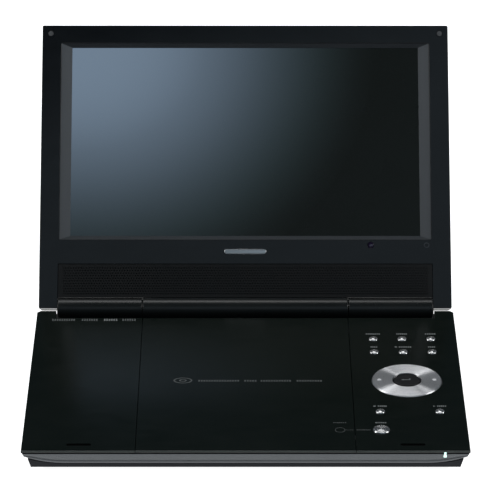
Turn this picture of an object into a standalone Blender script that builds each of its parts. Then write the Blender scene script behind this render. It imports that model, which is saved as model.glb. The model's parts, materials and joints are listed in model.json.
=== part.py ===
"""Portable disc player with a hinged 10.2 inch widescreen lid.

Every piece is its own object. Base pieces are children of base_frame, whose origin lies on the floor below
the hinge line, so their y is the distance behind that line (the front is negative). Lid pieces are modelled
as they lie with the lid shut, as children of lid_frame, which sits on the hinge line and holds the opening.
The row's origin is the centre of the open player's footprint, on the floor.
"""

import math

import bmesh
import bpy
from mathutils import Vector

MM = 0.001
GAP = 0.3 * MM                      # between two pieces that rest on each other
CUT = 2 * MM                        # how far a cutter runs past the wall it cuts

# Base: outline, heights above the floor, hinge line
WIDTH = 266 * MM
HALF = WIDTH / 2
BASE_FRONT = -191.5 * MM            # from the hinge line
PANEL_REAR = -17.3 * MM             # rear edge of the top panels and the door, in front of the barrels
CORNER_REAR = -7.2 * MM             # rear edge of the base's two corners, beside the barrels
TOP_Z = 20 * MM
PANEL_T = 1.8 * MM
FOOT_H = 1.5 * MM
WALL = 2 * MM
RIM_Z = TOP_Z - PANEL_T - 0.2 * MM  # top of the bottom shell's walls
HINGE_Z = 17 * MM
BARREL_R = 7.3 * MM
BARREL_END = 120.3 * MM             # outer end of the side barrels
CENTRE_COVER_END = 65.8 * MM
SHELF_Z = 9.2 * MM                  # top of the rear shelf under the barrels
SHELF_REAR = 6.5 * MM
CORNER_CHAMFER = 2 * MM
PAD_X, PAD_Y = 99.2 * MM, -183.2 * MM      # rest pads that the shut lid lies on
POSTS = ((-50, -168), (50, -168), (-50, -34), (50, -34))
FEET = {
    "front_left": (-112, -164),
    "front_right": (112, -164),
    "rear_left": (-112, -12),
    "rear_right": (112, -12),
}

# The hull's outline at five heights: (z, side inset, front inset, rear inset)
HULL = (
    (FOOT_H, 9.0 * MM, 18.0 * MM, 3.0 * MM),
    (7.1 * MM, 5.4 * MM, 4.2 * MM, 1.2 * MM),
    (10.2 * MM, 4.7 * MM, 3.1 * MM, 0.8 * MM),
    (14.4 * MM, 3.7 * MM, 1.75 * MM, 0.5 * MM),
    (RIM_Z, 0.6 * MM, 0.6 * MM, 0.2 * MM),
)

# Front trim: its lower edge is level between +-TRIM_TURN, then rises to TRIM_RISE above TRIM_LOW at its ends
TRIM_TOP, TRIM_LOW, TRIM_T = RIM_Z - 0.1 * MM, 10.4 * MM, 1.4 * MM
TRIM_TURN, TRIM_RISE = 105 * MM, 5.2 * MM
TRIM_END_LOW, TRIM_END_TOP = 131.2 * MM, 132.3 * MM

# Side sockets and switches
JACK_Z = 10.7 * MM
SIDE_X = 128.4 * MM                 # the hull's outer side at that height
PHONE_Y = (-128 * MM, -113 * MM, -98 * MM)
DC_Y = -45 * MM
VOLUME_X, VOLUME_Y, VOLUME_R = SIDE_X - 8.1 * MM, -152 * MM, 9.2 * MM
VOLUME_Z = 10.5 * MM
POWER_Y = -72 * MM

# Battery bay: x, x, y, y
BAY = (-120 * MM, -72 * MM, -150 * MM, -28 * MM)
BATTERY_LATCH = (-60 * MM, -92 * MM, 2.6 * MM)

# Lid, in its shut frame: y runs to the rear, so the lid reaches along -y; z is height above the hinge line
OPEN_ANGLE = math.radians(129)
LID_REACH = 192.1 * MM
LID_GAP = 1.0 * MM
LID_FACE = TOP_Z + LID_GAP - HINGE_Z
LID_T = 9 * MM
LID_BACK = LID_FACE + LID_T
LID_SPLIT = LID_FACE + 3.4 * MM     # bezel below, back cover above, when shut
LID_SKIN = 1.8 * MM
LID_EDGE = 2.2 * MM                 # rounding of the back cover's edges
ARM_END = 2 * MM                    # the lid's two arms start here, beside the barrels
ARM_X = 121 * MM                    # inner side of the arms
LID_END = 9 * MM                    # lower edge of the lid between its arms
GRILLE_TOP = 31.5 * MM
WINDOW_X, WINDOW_LOW, WINDOW_HIGH = 120.3 * MM, 47.6 * MM, 180 * MM
SCREEN_X, SCREEN_LOW, SCREEN_HIGH = 113.3 * MM, 50.4 * MM, 177.2 * MM
SCREEN_FACE = LID_FACE + 2.2 * MM
BUMPER_X, BUMPER_Y = 127.4 * MM, 186.5 * MM
SENSOR_X, SENSOR_Y = 81.1 * MM, 43.8 * MM
SPEAKER_X = 96 * MM

# Disc drive
DOOR_X = 65.2 * MM
PANEL_X = 65.6 * MM
DOOR_T = 1.6 * MM
DOOR_PIVOT_Y, DOOR_PIVOT_Z = -23 * MM, 15.5 * MM
DOOR_EYE_R = 2.6 * MM
DISC_Y = -102 * MM
WELL_R = 61.5 * MM
WELL_FLOOR = 13.8 * MM
DECK_T = 1.4 * MM
DECK_TOP = 17.7 * MM
DECK_X = 64.9 * MM
LENS_INNER = 23 * MM                # lens to spindle with the pickup at rest
SCREW_X, ROD_X, DRIVE_Z = -21 * MM, 20 * MM, 8.6 * MM

# Controls on the right panel
KEY_R = 3 * MM
KEY_PROUD = 0.7 * MM
KEY_COLUMNS = (80.5 * MM, 98.6 * MM, 116.7 * MM)
KEY_ROWS = (-46.5 * MM, -64.3 * MM)
LOWER_KEY_Y = -142.2 * MM
NAV_X = 99.2 * MM
NAV_R, NAV_HOLE_R = 21.4 * MM, 9.4 * MM
OPEN_X, OPEN_Y, OPEN_R = 81.2 * MM, -165.2 * MM, 5.1 * MM
LED_X, LED_PROUD = 118.1 * MM, 0.15 * MM
LED_LOW, LED_TOP = 15.2 * MM, 19.2 * MM

# The open player's footprint runs from the lamp's front to the lid's upper back edge
LEAN = OPEN_ANGLE - math.pi / 2
LID_OVERHANG = (LID_REACH - 0.4 * LID_EDGE) * math.sin(LEAN) + LID_BACK * math.cos(LEAN)
HINGE_Y = (LED_PROUD - BASE_FRONT - LID_OVERHANG) / 2


def clear_scene():
    for obj in list(bpy.data.objects):
        bpy.data.objects.remove(obj)


def material(name, color, roughness, metallic=0.0):
    mat = bpy.data.materials.new(name)
    mat.use_nodes = True
    shader = mat.node_tree.nodes["Principled BSDF"]
    shader.inputs["Base Color"].default_value = (*color, 1)
    shader.inputs["Roughness"].default_value = roughness
    shader.inputs["Metallic"].default_value = metallic
    return mat


def frame_empty(name, location, x_turn=0.0):
    empty = bpy.data.objects.new(name, None)
    bpy.context.scene.collection.objects.link(empty)
    empty.location = location
    empty.rotation_euler = (x_turn, 0, 0)
    return empty


def add(name, bm, mat=None, at=(0, 0, 0), parent=None):
    """Makes an object of bm, with its origin at `at` in the parent's frame. No material makes a cutter."""
    bmesh.ops.recalc_face_normals(bm, faces=bm.faces)
    mesh = bpy.data.meshes.new(name)
    bm.to_mesh(mesh)
    bm.free()
    obj = bpy.data.objects.new(name, mesh)
    bpy.context.scene.collection.objects.link(obj)
    obj.parent = parent
    obj.location = at
    if mat:
        mesh.materials.append(mat)
        mesh.shade_smooth()
        mesh.set_sharp_from_angle(angle=math.radians(30))
    else:
        obj.hide_render = True
        obj.display_type = "WIRE"
    return obj


def loft(rings, closed=False):
    """Skins rings of equal point count. Open lofts get caps; a closed loft joins its last ring to its first."""
    bm = bmesh.new()
    loops = [[bm.verts.new(p) for p in ring] for ring in rings]
    pairs = list(zip(loops, loops[1:]))
    if closed:
        pairs.append((loops[-1], loops[0]))
    else:
        bm.faces.new(loops[0])
        bm.faces.new(loops[-1])
    for low, high in pairs:
        for i in range(len(low)):
            j = (i + 1) % len(low)
            bm.faces.new((low[i], low[j], high[j], high[i]))
    return bm


def rect(x0, x1, y0, y1, z):
    return [(x0, y0, z), (x1, y0, z), (x1, y1, z), (x0, y1, z)]


def box(x0, x1, y0, y1, z0, z1):
    return loft([rect(x0, x1, y0, y1, z0), rect(x0, x1, y0, y1, z1)])


def prism(outline, z0, z1):
    """Extrudes an (x, y) outline from z0 to z1."""
    return loft([[(x, y, z) for x, y in outline] for z in (z0, z1)])


def circle(radius, z, segments, centre=(0, 0)):
    turn = [2 * math.pi * i / segments for i in range(segments)]
    return [(centre[0] + radius * math.cos(a), centre[1] + radius * math.sin(a), z) for a in turn]


def turned(profile, segments=24, centre=(0, 0), hollow=False):
    """A solid of revolution about z. A hollow one's (radius, z) profile is a loop round its wall."""
    return loft([circle(r, z, segments, centre) for r, z in profile], closed=hollow)


def along(bm, axis):
    """Turns a solid built about z so that it lies along x or y."""
    for vert in bm.verts:
        x, y, z = vert.co
        vert.co = Vector((z, x, y)) if axis == "x" else Vector((y, z, x))
    return bm


def moved(bm, x, y, z):
    bmesh.ops.translate(bm, verts=bm.verts, vec=(x, y, z))
    return bm


def boolean(target, bm, operation, parent):
    """Cuts bm from target, or joins it on, keeping the helper as a hidden guide."""
    helper = add(f"{target.name}_{operation.lower()}_{len(target.modifiers)}", bm, parent=parent)
    modifier = target.modifiers.new(helper.name, "BOOLEAN")
    modifier.operation = operation
    modifier.object = helper


def cut(target, bm, parent):
    boolean(target, bm, "DIFFERENCE", parent)


def join(target, bm, parent):
    boolean(target, bm, "UNION", parent)


# ---------------------------------------------------------------- base casing

def hull_rings(inset=0.0, low=FOOT_H):
    """The hull's section rings, drawn in by inset, with its lowest ring moved to low."""
    rings = []
    for z, side, front, rear in HULL:
        x, y0, y1 = HALF - side - inset, BASE_FRONT + front + inset, SHELF_REAR - rear - inset
        rings.append(rect(-x, x, y0, y1, max(z, low)))
    return rings


def trim_front(z):
    """Where the hull's front face lies at height z."""
    low_z, _, low_inset, _ = HULL[2]
    high_z, _, high_inset, _ = HULL[-1]
    return BASE_FRONT + low_inset + (high_inset - low_inset) * (z - low_z) / (high_z - low_z)


def trim_loft(grow=0.0, outward=0.0, end_grow=0.0):
    """The strip on the base's front: its lower edge is level along the middle and sweeps up at both ends."""
    shares = [i / 7 for i in range(8)]
    rings = []
    for side, share in [(-1, s) for s in reversed(shares)] + [(1, s) for s in shares]:
        low = TRIM_LOW - grow + TRIM_RISE * share ** 2.3
        high = TRIM_TOP + 2 * grow
        low_x = side * (TRIM_TURN + (TRIM_END_LOW + end_grow - TRIM_TURN) * share)
        high_x = side * (TRIM_TURN + (TRIM_END_TOP + end_grow - TRIM_TURN) * share)
        rings.append([
            (low_x, trim_front(low) - outward, low),
            (high_x, trim_front(high) - outward, high),
            (high_x, trim_front(high) + TRIM_T + grow, high),
            (low_x, trim_front(low) + TRIM_T + grow, low),
        ])
    return loft(rings)


def side_tube(radius, start, end, y, segments=20):
    """A cylinder along x at socket height, from start to end as measured outwards from the hull's side."""
    tube = along(turned([(radius, SIDE_X + start), (radius, SIDE_X + end)], segments), "x")
    return moved(tube, 0, y, JACK_Z)


def build_bottom_shell(base, mat):
    shell = add("bottom_shell", loft(hull_rings()), mat, parent=base)
    cut(shell, box(-BARREL_END - GAP, BARREL_END + GAP, PANEL_REAR, SHELF_REAR + CUT, SHELF_Z, TOP_Z), base)
    for side in (-1, 1):
        x0, x1 = sorted((side * (BARREL_END + GAP), side * (HALF + CUT)))
        cut(shell, box(x0, x1, CORNER_REAR - 0.3 * MM, SHELF_REAR + CUT, 0, TOP_Z), base)
    cavity = hull_rings(WALL, FOOT_H + WALL)
    cavity = [[(x, min(y, PANEL_REAR - WALL), z) for x, y, z in ring] for ring in cavity]
    cavity.append([(x, y, TOP_Z) for x, y, _ in cavity[-1]])
    cut(shell, loft(cavity), base)
    under_shelf = box(-117 * MM, 117 * MM, PANEL_REAR - 5 * MM, SHELF_REAR - 5 * MM, FOOT_H + WALL, SHELF_Z - WALL)
    cut(shell, under_shelf, base)
    door_gap = box(-DOOR_X - MM, DOOR_X + MM, PANEL_REAR - WALL - MM, PANEL_REAR + MM, 10.8 * MM, TOP_Z)
    cut(shell, door_gap, base)
    cut(shell, trim_loft(grow=GAP, outward=CUT, end_grow=CUT), base)
    for x, y in POSTS:
        post = turned([(3.5 * MM, 2.5 * MM), (3.5 * MM, 15.9 * MM)], 16, (x * MM, y * MM))
        join(shell, post, base)
        bore = [(3 * MM, 0), (3 * MM, 3.4 * MM), (1.5 * MM, 3.4 * MM), (1.5 * MM, 13 * MM)]
        cut(shell, turned(bore, 12, (x * MM, y * MM)), base)
    for x, y in FEET.values():
        cut(shell, turned([(5.4 * MM, 0), (5.4 * MM, 2.4 * MM)], 20, (x * MM, y * MM)), base)
    cut(shell, box(BAY[0], BAY[1], BAY[2], BAY[3], 0, FOOT_H + WALL + CUT), base)
    latch_x, latch_y, _ = BATTERY_LATCH
    cut(shell, box(latch_x - 8 * MM, latch_x + 10 * MM, latch_y - 4.3 * MM, latch_y + 4.3 * MM, 0,
                   FOOT_H + WALL + CUT), base)
    for y in PHONE_Y:
        cut(shell, side_tube(3.9 * MM, -8 * MM, 8 * MM, y), base)
    cut(shell, side_tube(4.6 * MM, -8 * MM, 8 * MM, DC_Y), base)
    inside, outside = SIDE_X - 8 * MM, SIDE_X + 8 * MM
    cut(shell, box(inside, outside, VOLUME_Y - 7.6 * MM, VOLUME_Y + 7.6 * MM, 8.8 * MM, 12.2 * MM), base)
    cut(shell, box(inside, outside, POWER_Y - 5.6 * MM, POWER_Y + 10.6 * MM, 8.7 * MM, 12.7 * MM), base)


def panel_outline(side):
    """One top panel seen from above: a strip beside the door, with a tab that fills the base's rear corner."""
    points = [
        (PANEL_X, BASE_FRONT), (HALF, BASE_FRONT), (HALF, CORNER_REAR - CORNER_CHAMFER),
        (HALF - CORNER_CHAMFER, CORNER_REAR),
        (BARREL_END + 2 * GAP, CORNER_REAR), (BARREL_END + 2 * GAP, PANEL_REAR), (PANEL_X, PANEL_REAR),
    ]
    return [(side * x, y) for x, y in points]


def rounded_slot(x, y, length, width, z0, z1):
    """A slot with round ends, along x."""
    run, r = (length - width) / 2, width / 2
    quarter = [math.pi * i / 6 - math.pi / 2 for i in range(7)]
    right = [(x + run + r * math.cos(a), y + r * math.sin(a)) for a in quarter]
    left = [(x - run - r * math.cos(a), y - r * math.sin(a)) for a in quarter]
    return prism(right + left, z0, z1)


def build_top_panels(base, mat):
    for side, name in ((-1, "left_top_panel"), (1, "right_control_panel")):
        panel = add(name, prism(panel_outline(side), TOP_Z - PANEL_T, TOP_Z), mat, parent=base)
        cut(panel, rounded_slot(side * PAD_X, PAD_Y, 15 * MM, 2.6 * MM, TOP_Z - MM, TOP_Z + CUT), base)
    holes = [(x, y, KEY_R + 0.35 * MM, 20) for x, y in key_places().values()]
    holes += [(NAV_X, DISC_Y, NAV_R + 0.5 * MM, 48), (OPEN_X, OPEN_Y, OPEN_R + 0.35 * MM, 28)]
    for x, y, radius, segments in holes:
        cut(panel, turned([(radius, TOP_Z - 2 * PANEL_T), (radius, TOP_Z + CUT)], segments, (x, y)), base)
    cut(panel, led_block(GAP), base)


def led_block(grow=0.0):
    """The power lamp's light pipe in the front edge."""
    half = 0.9 * MM + grow
    front, back = BASE_FRONT - LED_PROUD - 4 * grow, BASE_FRONT + 2.3 * MM + grow
    return box(LED_X - half, LED_X + half, front, back, LED_LOW - grow, LED_TOP + grow)


def build_front(base, trim_mat, lamp_mat):
    trim = add("front_trim", trim_loft(), trim_mat, parent=base)
    cut(trim, led_block(GAP), base)
    add("power_led_lens", led_block(), lamp_mat, parent=base)
    cut(bpy.data.objects["bottom_shell"], led_block(GAP), base)


def build_feet_and_screws(base, rubber, steel):
    for name, (x, y) in FEET.items():
        foot = turned([(4.4 * MM, 0), (5 * MM, 0.6 * MM), (5 * MM, 2.1 * MM)], 20)
        add(f"rubber_foot_{name}", foot, rubber, at=(x * MM, y * MM, 0), parent=base)
    for (x, y), name in zip(POSTS, ("front_left", "front_right", "rear_left", "rear_right")):
        profile = [(2.6 * MM, 0), (2.6 * MM, 1.2 * MM), (1.2 * MM, 1.2 * MM), (1.2 * MM, 9 * MM)]
        place = (x * MM, y * MM, 1.9 * MM)
        screw = add(f"case_screw_{name}", turned(profile, 12), steel, at=place, parent=base)
        for half in ((2 * MM, 0.35 * MM), (0.35 * MM, 2 * MM)):
            cut(screw, box(-half[0], half[0], -half[1], half[1], -MM, 0.7 * MM), screw)


# ---------------------------------------------------------------- hinge

def build_hinge(base, lid, plastic, steel):
    bore_r, bore_depth, shaft_r = 2.3 * MM, 15 * MM, 2 * MM
    barrel_in = CENTRE_COVER_END + 0.4 * MM
    for side, name in ((-1, "left"), (1, "right")):
        x0, x1 = sorted((side * barrel_in, side * BARREL_END))
        tube = along(turned([(BARREL_R, x0), (BARREL_R, x1)], 36), "x")
        barrel = add(f"hinge_barrel_{name}", moved(tube, 0, 0, HINGE_Z), plastic, parent=base)
        join(barrel, box(x0 + 2 * MM, x1 - 2 * MM, -4 * MM, 4 * MM, SHELF_Z + GAP, HINGE_Z - 3 * MM), base)
        b0, b1 = sorted((side * (barrel_in - CUT), side * (barrel_in + bore_depth)))
        cut(barrel, moved(along(turned([(bore_r, b0), (bore_r, b1)], 20), "x"), 0, 0, HINGE_Z), base)
        s0, s1 = sorted((side * (CENTRE_COVER_END - bore_depth + MM), side * (barrel_in + bore_depth - MM)))
        shaft = along(turned([(shaft_r, s0), (shaft_r, s1)], 16), "x")
        add(f"hinge_shaft_{name}", moved(shaft, 0, 0, HINGE_Z), steel, parent=base)

    middle = along(turned([(BARREL_R, -CENTRE_COVER_END), (BARREL_R, CENTRE_COVER_END)], 36), "x")
    cover = add("hinge_centre_cover", middle, plastic, parent=lid)
    neck_x = CENTRE_COVER_END - 0.5 * MM
    join(cover, box(-neck_x, neck_x, -LID_END + GAP, 0, LID_FACE, LID_SPLIT), lid)
    tongue = (-60 * MM, 60 * MM, -22 * MM, -3 * MM, LID_FACE + 2.1 * MM, LID_SPLIT)
    join(cover, box(*tongue), lid)
    for side in (-1, 1):
        b0, b1 = sorted((side * (CENTRE_COVER_END - bore_depth), side * (CENTRE_COVER_END + CUT)))
        cut(cover, along(turned([(bore_r, b0), (bore_r, b1)], 20), "x"), lid)


# ---------------------------------------------------------------- lid

def lid_rect(x, low, high, z):
    """A rectangle in the lid's plane, from low to high along the lid."""
    return rect(-x, x, -high, -low, z)


def build_bezel(lid, mat):
    inner = HALF - LID_SKIN
    rings = [
        lid_rect(HALF, ARM_END, LID_REACH, LID_FACE),
        lid_rect(WINDOW_X, WINDOW_LOW, WINDOW_HIGH, LID_FACE),
        lid_rect(WINDOW_X, WINDOW_LOW, WINDOW_HIGH, LID_FACE + 0.6 * MM),
        lid_rect(SCREEN_X, SCREEN_LOW, SCREEN_HIGH, LID_FACE + 1.6 * MM),
        lid_rect(SCREEN_X, SCREEN_LOW, SCREEN_HIGH, LID_FACE + 1.9 * MM),
        lid_rect(inner, ARM_END + LID_SKIN, LID_REACH - LID_SKIN, LID_FACE + 1.9 * MM),
        lid_rect(inner, ARM_END + LID_SKIN, LID_REACH - LID_SKIN, LID_SPLIT),
        lid_rect(HALF, ARM_END, LID_REACH, LID_SPLIT),
    ]
    bezel = add("screen_bezel", loft(rings, closed=True), mat, parent=lid)
    cut(bezel, box(-ARM_X, ARM_X, -GRILLE_TOP, 0, 0, LID_BACK), lid)
    for x in (-BUMPER_X, BUMPER_X):
        cut(bezel, turned([(1.95 * MM, 0), (1.95 * MM, LID_SPLIT + CUT)], 16, (x, -BUMPER_Y)), lid)
    cut(bezel, turned([(2.4 * MM, 0), (2.4 * MM, LID_SPLIT + CUT)], 20, (SENSOR_X, -SENSOR_Y)), lid)


def build_back_cover(lid, mat):
    edge, low = LID_EDGE, LID_SPLIT + GAP
    outer = loft([
        lid_rect(HALF, ARM_END, LID_REACH, low),
        lid_rect(HALF, ARM_END, LID_REACH, LID_BACK - edge),
        lid_rect(HALF - 0.3 * edge, ARM_END + 0.3 * edge, LID_REACH - 0.05 * edge, LID_BACK - 0.35 * edge),
        lid_rect(HALF - edge, ARM_END + edge, LID_REACH - 0.4 * edge, LID_BACK),
    ])
    cover = add("lid_back_cover", outer, mat, parent=lid)
    cut(cover, box(-ARM_X, ARM_X, -LID_END, CUT, 0, LID_BACK + CUT), lid)
    inner = HALF - LID_SKIN
    cut(cover, box(-inner, inner, LID_SKIN - LID_REACH, -LID_END - LID_SKIN, 0, LID_BACK - LID_SKIN), lid)


def build_display(lid, glass, frame_mat):
    x, low, high = SCREEN_X + 3.5 * MM, SCREEN_LOW - 2.4 * MM, SCREEN_HIGH + 2.6 * MM
    add("lcd_glass", box(-x, x, -high, -low, SCREEN_FACE, SCREEN_FACE + 1.1 * MM), glass, parent=lid)
    back = SCREEN_FACE + 1.4 * MM
    add("backlight_unit", box(-x, x, -high, -low, back, back + 3.2 * MM), frame_mat, parent=lid)


def build_lid_electronics(lid, board_mat, cone_mat):
    board_z = LID_SPLIT + 0.8 * MM
    board = add("lid_circuit_board", box(-60 * MM, 60 * MM, -44 * MM, -26 * MM, board_z, board_z + MM),
                board_mat, parent=lid)
    for x, length, height in ((-42, 14, 1.5), (-14, 22, 1.1), (20, 10, 1.6), (44, 15, 1.3)):
        join(board, box(x * MM, (x + length) * MM, -41 * MM, -30 * MM, board_z + 0.5 * MM,
                        board_z + MM + height * MM), lid)
    for side, name in ((-1, "left"), (1, "right")):
        front = LID_FACE + 1.8 * MM
        profile = [(6.5 * MM, 0.5 * MM), (7.4 * MM, 0), (9.6 * MM, 0), (9.6 * MM, 1.2 * MM),
                   (6 * MM, 2.2 * MM), (6 * MM, 4.6 * MM)]
        place = (side * SPEAKER_X, -20.6 * MM, front)
        add(f"speaker_{name}", turned(profile, 28), cone_mat, at=place, parent=lid)


def build_lid_trim(lid, grille_mat, window_mat, rubber):
    strip = box(-ARM_X + GAP, ARM_X - GAP, GAP - GRILLE_TOP, -LID_END - 0.1 * MM,
                LID_FACE + 0.2 * MM, LID_FACE + 1.4 * MM)
    grille = add("speaker_grille", strip, grille_mat, parent=lid)
    rows = 5
    for side in (-1, 1):
        for row in range(rows):
            length = (14 + 6 * math.sin(math.pi * (row + 1) / (rows + 1))) * MM
            slot = rounded_slot(side * SPEAKER_X, -(13.4 + 3.6 * row) * MM, length, 1.4 * MM, LID_FACE - MM,
                                LID_FACE + 2 * MM)
            cut(grille, slot, lid)
    add("remote_sensor_window", turned([(2.1 * MM, 0), (2.1 * MM, 1.6 * MM)], 20), window_mat,
        at=(SENSOR_X, -SENSOR_Y, LID_FACE + 0.15 * MM), parent=lid)
    for side, name in ((-1, "left"), (1, "right")):
        profile = [(1.2 * MM, -0.6 * MM), (1.65 * MM, -0.3 * MM), (1.65 * MM, 1.6 * MM)]
        place = (side * BUMPER_X, -BUMPER_Y, LID_FACE)
        add(f"lid_bumper_{name}", turned(profile, 16), rubber, at=place, parent=lid)


# ---------------------------------------------------------------- disc drive

def build_door(base, mat):
    """The disc door turns up about two pins near its rear edge. Its origin is on that axis."""
    under = TOP_Z - DOOR_T - DOOR_PIVOT_Z
    top = TOP_Z - DOOR_PIVOT_Z
    front = BASE_FRONT + 0.1 * MM - DOOR_PIVOT_Y
    rear = PANEL_REAR - 0.2 * MM - DOOR_PIVOT_Y
    door = add("disc_door", box(-DOOR_X, DOOR_X, front, rear, under, top), mat,
               at=(0, DOOR_PIVOT_Y, DOOR_PIVOT_Z), parent=base)
    for side in (-1, 1):
        x0, x1 = sorted((side * 58.6 * MM, side * 61.4 * MM))
        join(door, box(x0, x1, -2.6 * MM, 2.6 * MM, -2.4 * MM, under + 0.5 * MM), door)
        p0, p1 = sorted((side * 60 * MM, side * 64.4 * MM))
        join(door, along(turned([(1.5 * MM, p0), (1.5 * MM, p1)], 16), "x"), door)
    y0 = -168 * MM - DOOR_PIVOT_Y
    join(door, box(61 * MM, 62.6 * MM, y0, y0 + 6 * MM, -4.3 * MM, under + 0.5 * MM), door)
    join(door, box(61.5 * MM, 63.8 * MM, y0, y0 + 6 * MM, -4.3 * MM, -3 * MM), door)


def build_deck(base, mat):
    """The tray under the disc: a raised land with a round well, open for the spindle and the pickup."""
    front, rear = -188 * MM, -27 * MM
    well_under = WELL_FLOOR - DECK_T
    deck = add("disc_deck", box(-DECK_X, DECK_X, front, rear, well_under, DECK_TOP), mat, parent=base)
    cut(deck, turned([(WELL_R, WELL_FLOOR), (WELL_R, TOP_Z)], 56, (0, DISC_Y)), base)
    skirt = box(-DECK_X - CUT, DECK_X + CUT, front - CUT, rear + CUT, well_under - CUT, DECK_TOP - DECK_T)
    land = add("disc_deck_land_cutter", skirt, parent=base)
    cut(land, turned([(WELL_R + 1.3 * MM, 0), (WELL_R + 1.3 * MM, TOP_Z + CUT)], 56, (0, DISC_Y)), base)
    under_land = deck.modifiers.new("under_land", "BOOLEAN")
    under_land.object = land
    cut(deck, turned([(15 * MM, 0), (15 * MM, TOP_Z)], 36, (0, DISC_Y)), base)
    cut(deck, box(-13 * MM, 13 * MM, DISC_Y - 66 * MM, DISC_Y, 0, DECK_TOP - 2 * DECK_T), base)
    cut(deck, box(60.2 * MM, DECK_X + CUT, -170 * MM, -160 * MM, 0, TOP_Z), base)
    for side in (-1, 1):
        x0, x1 = sorted((side * 62 * MM, side * DECK_X))
        join(deck, box(x0, x1, rear - MM, DOOR_PIVOT_Y, 12.9 * MM, DECK_TOP), base)
        eye = along(turned([(DOOR_EYE_R, x0), (DOOR_EYE_R, x1)], 20), "x")
        join(deck, moved(eye, 0, DOOR_PIVOT_Y, DOOR_PIVOT_Z), base)
        pin = along(turned([(1.8 * MM, x0 - CUT), (1.8 * MM, x1 + CUT)], 16), "x")
        cut(deck, moved(pin, 0, DOOR_PIVOT_Y, DOOR_PIVOT_Z), base)


def build_drive(base, steel, dark):
    z0, z1 = 10.4 * MM, 11.6 * MM
    chassis = add("drive_chassis", box(-44 * MM, 44 * MM, -180 * MM, -58 * MM, z0, z1), steel, parent=base)
    cut(chassis, box(-27 * MM, 27 * MM, -177 * MM, -118 * MM, 0, TOP_Z), base)
    cut(chassis, box(-27 * MM, -16 * MM, -120 * MM, -66 * MM, 0, TOP_Z), base)
    cut(chassis, turned([(2.4 * MM, 0), (2.4 * MM, TOP_Z)], 16, (0, DISC_Y)), base)
    for x, y in ((-38, -168), (38, -168), (-38, -66), (38, -66)):
        leg = turned([(3.6 * MM, FOOT_H + WALL + GAP), (3.6 * MM, z0 + 0.5 * MM)], 16, (x * MM, y * MM))
        join(chassis, leg, base)
    motor = [(5 * MM, 0), (13 * MM, 0.8 * MM), (13 * MM, 4.6 * MM), (9 * MM, 4.6 * MM), (9 * MM, 4.9 * MM)]
    add("spindle_motor", turned(motor, 32), steel, at=(0, DISC_Y, 4.4 * MM), parent=base)
    hub = [(1.5 * MM, -6 * MM), (1.5 * MM, -1.3 * MM), (12 * MM, -1.3 * MM), (12 * MM, 0),
           (7.4 * MM, 0.2 * MM), (7.4 * MM, 1.3 * MM), (6.2 * MM, 2.1 * MM)]
    add("spindle_hub", turned(hub, 36), dark, at=(0, DISC_Y, 15.9 * MM), parent=base)

    rod = along(turned([(1.5 * MM, -178 * MM), (1.5 * MM, -112 * MM)], 12), "y")
    add("guide_rod", moved(rod, ROD_X, 0, DRIVE_Z), steel, parent=base)
    add("sled_motor", moved(along(turned([(3.6 * MM, 0), (3.6 * MM, 14 * MM)], 20), "y"), 0, 0, 0), steel,
        at=(SCREW_X, -84 * MM, DRIVE_Z), parent=base)
    turns, pitch, root = 24, 3.6 * MM, 1.0 * MM
    thread = [(root + (0.35 * MM if i % 2 else 0), -(turns - i / 2) * pitch) for i in range(2 * turns + 1)]
    add("lead_screw", along(turned(thread, 8), "y"), steel, at=(SCREW_X, -84.4 * MM, DRIVE_Z), parent=base)

    sled = add("optical_pickup", box(-17 * MM, 24.5 * MM, -14 * MM, 4 * MM, -1.2 * MM, 3.4 * MM), dark,
               at=(0, DISC_Y - LENS_INNER, DRIVE_Z), parent=base)
    cut(sled, moved(along(turned([(1.8 * MM, -20 * MM), (1.8 * MM, 10 * MM)], 12), "y"), ROD_X, 0, 0), sled)
    turret = [(4.8 * MM, 3 * MM), (4.8 * MM, 4.8 * MM), (2.7 * MM, 4.8 * MM), (2.5 * MM, 5.5 * MM)]
    join(sled, turned(turret, 20), sled)
    join(sled, box(-19.2 * MM, -16.5 * MM, -8 * MM, -2 * MM, -1.2 * MM, 1.2 * MM), sled)


def build_latch(base, steel):
    latch = add("door_latch", box(64.2 * MM, 90 * MM, -3.4 * MM, 3.4 * MM, 10.8 * MM, 12.2 * MM), steel,
                at=(0, OPEN_Y, 0), parent=base)
    join(latch, box(64.2 * MM, 66.4 * MM, -3.4 * MM, 3.4 * MM, 11 * MM, 14.6 * MM), latch)


# ---------------------------------------------------------------- controls

def key_places():
    places = {f"key_upper_{i + 1}": (x, KEY_ROWS[0]) for i, x in enumerate(KEY_COLUMNS)}
    places |= {f"key_lower_{i + 1}": (x, KEY_ROWS[1]) for i, x in enumerate(KEY_COLUMNS)}
    places["key_stop"] = (KEY_COLUMNS[0] + 0.9 * MM, LOWER_KEY_Y)
    places["key_play"] = (KEY_COLUMNS[2] + 0.7 * MM, LOWER_KEY_Y)
    return places


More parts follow.
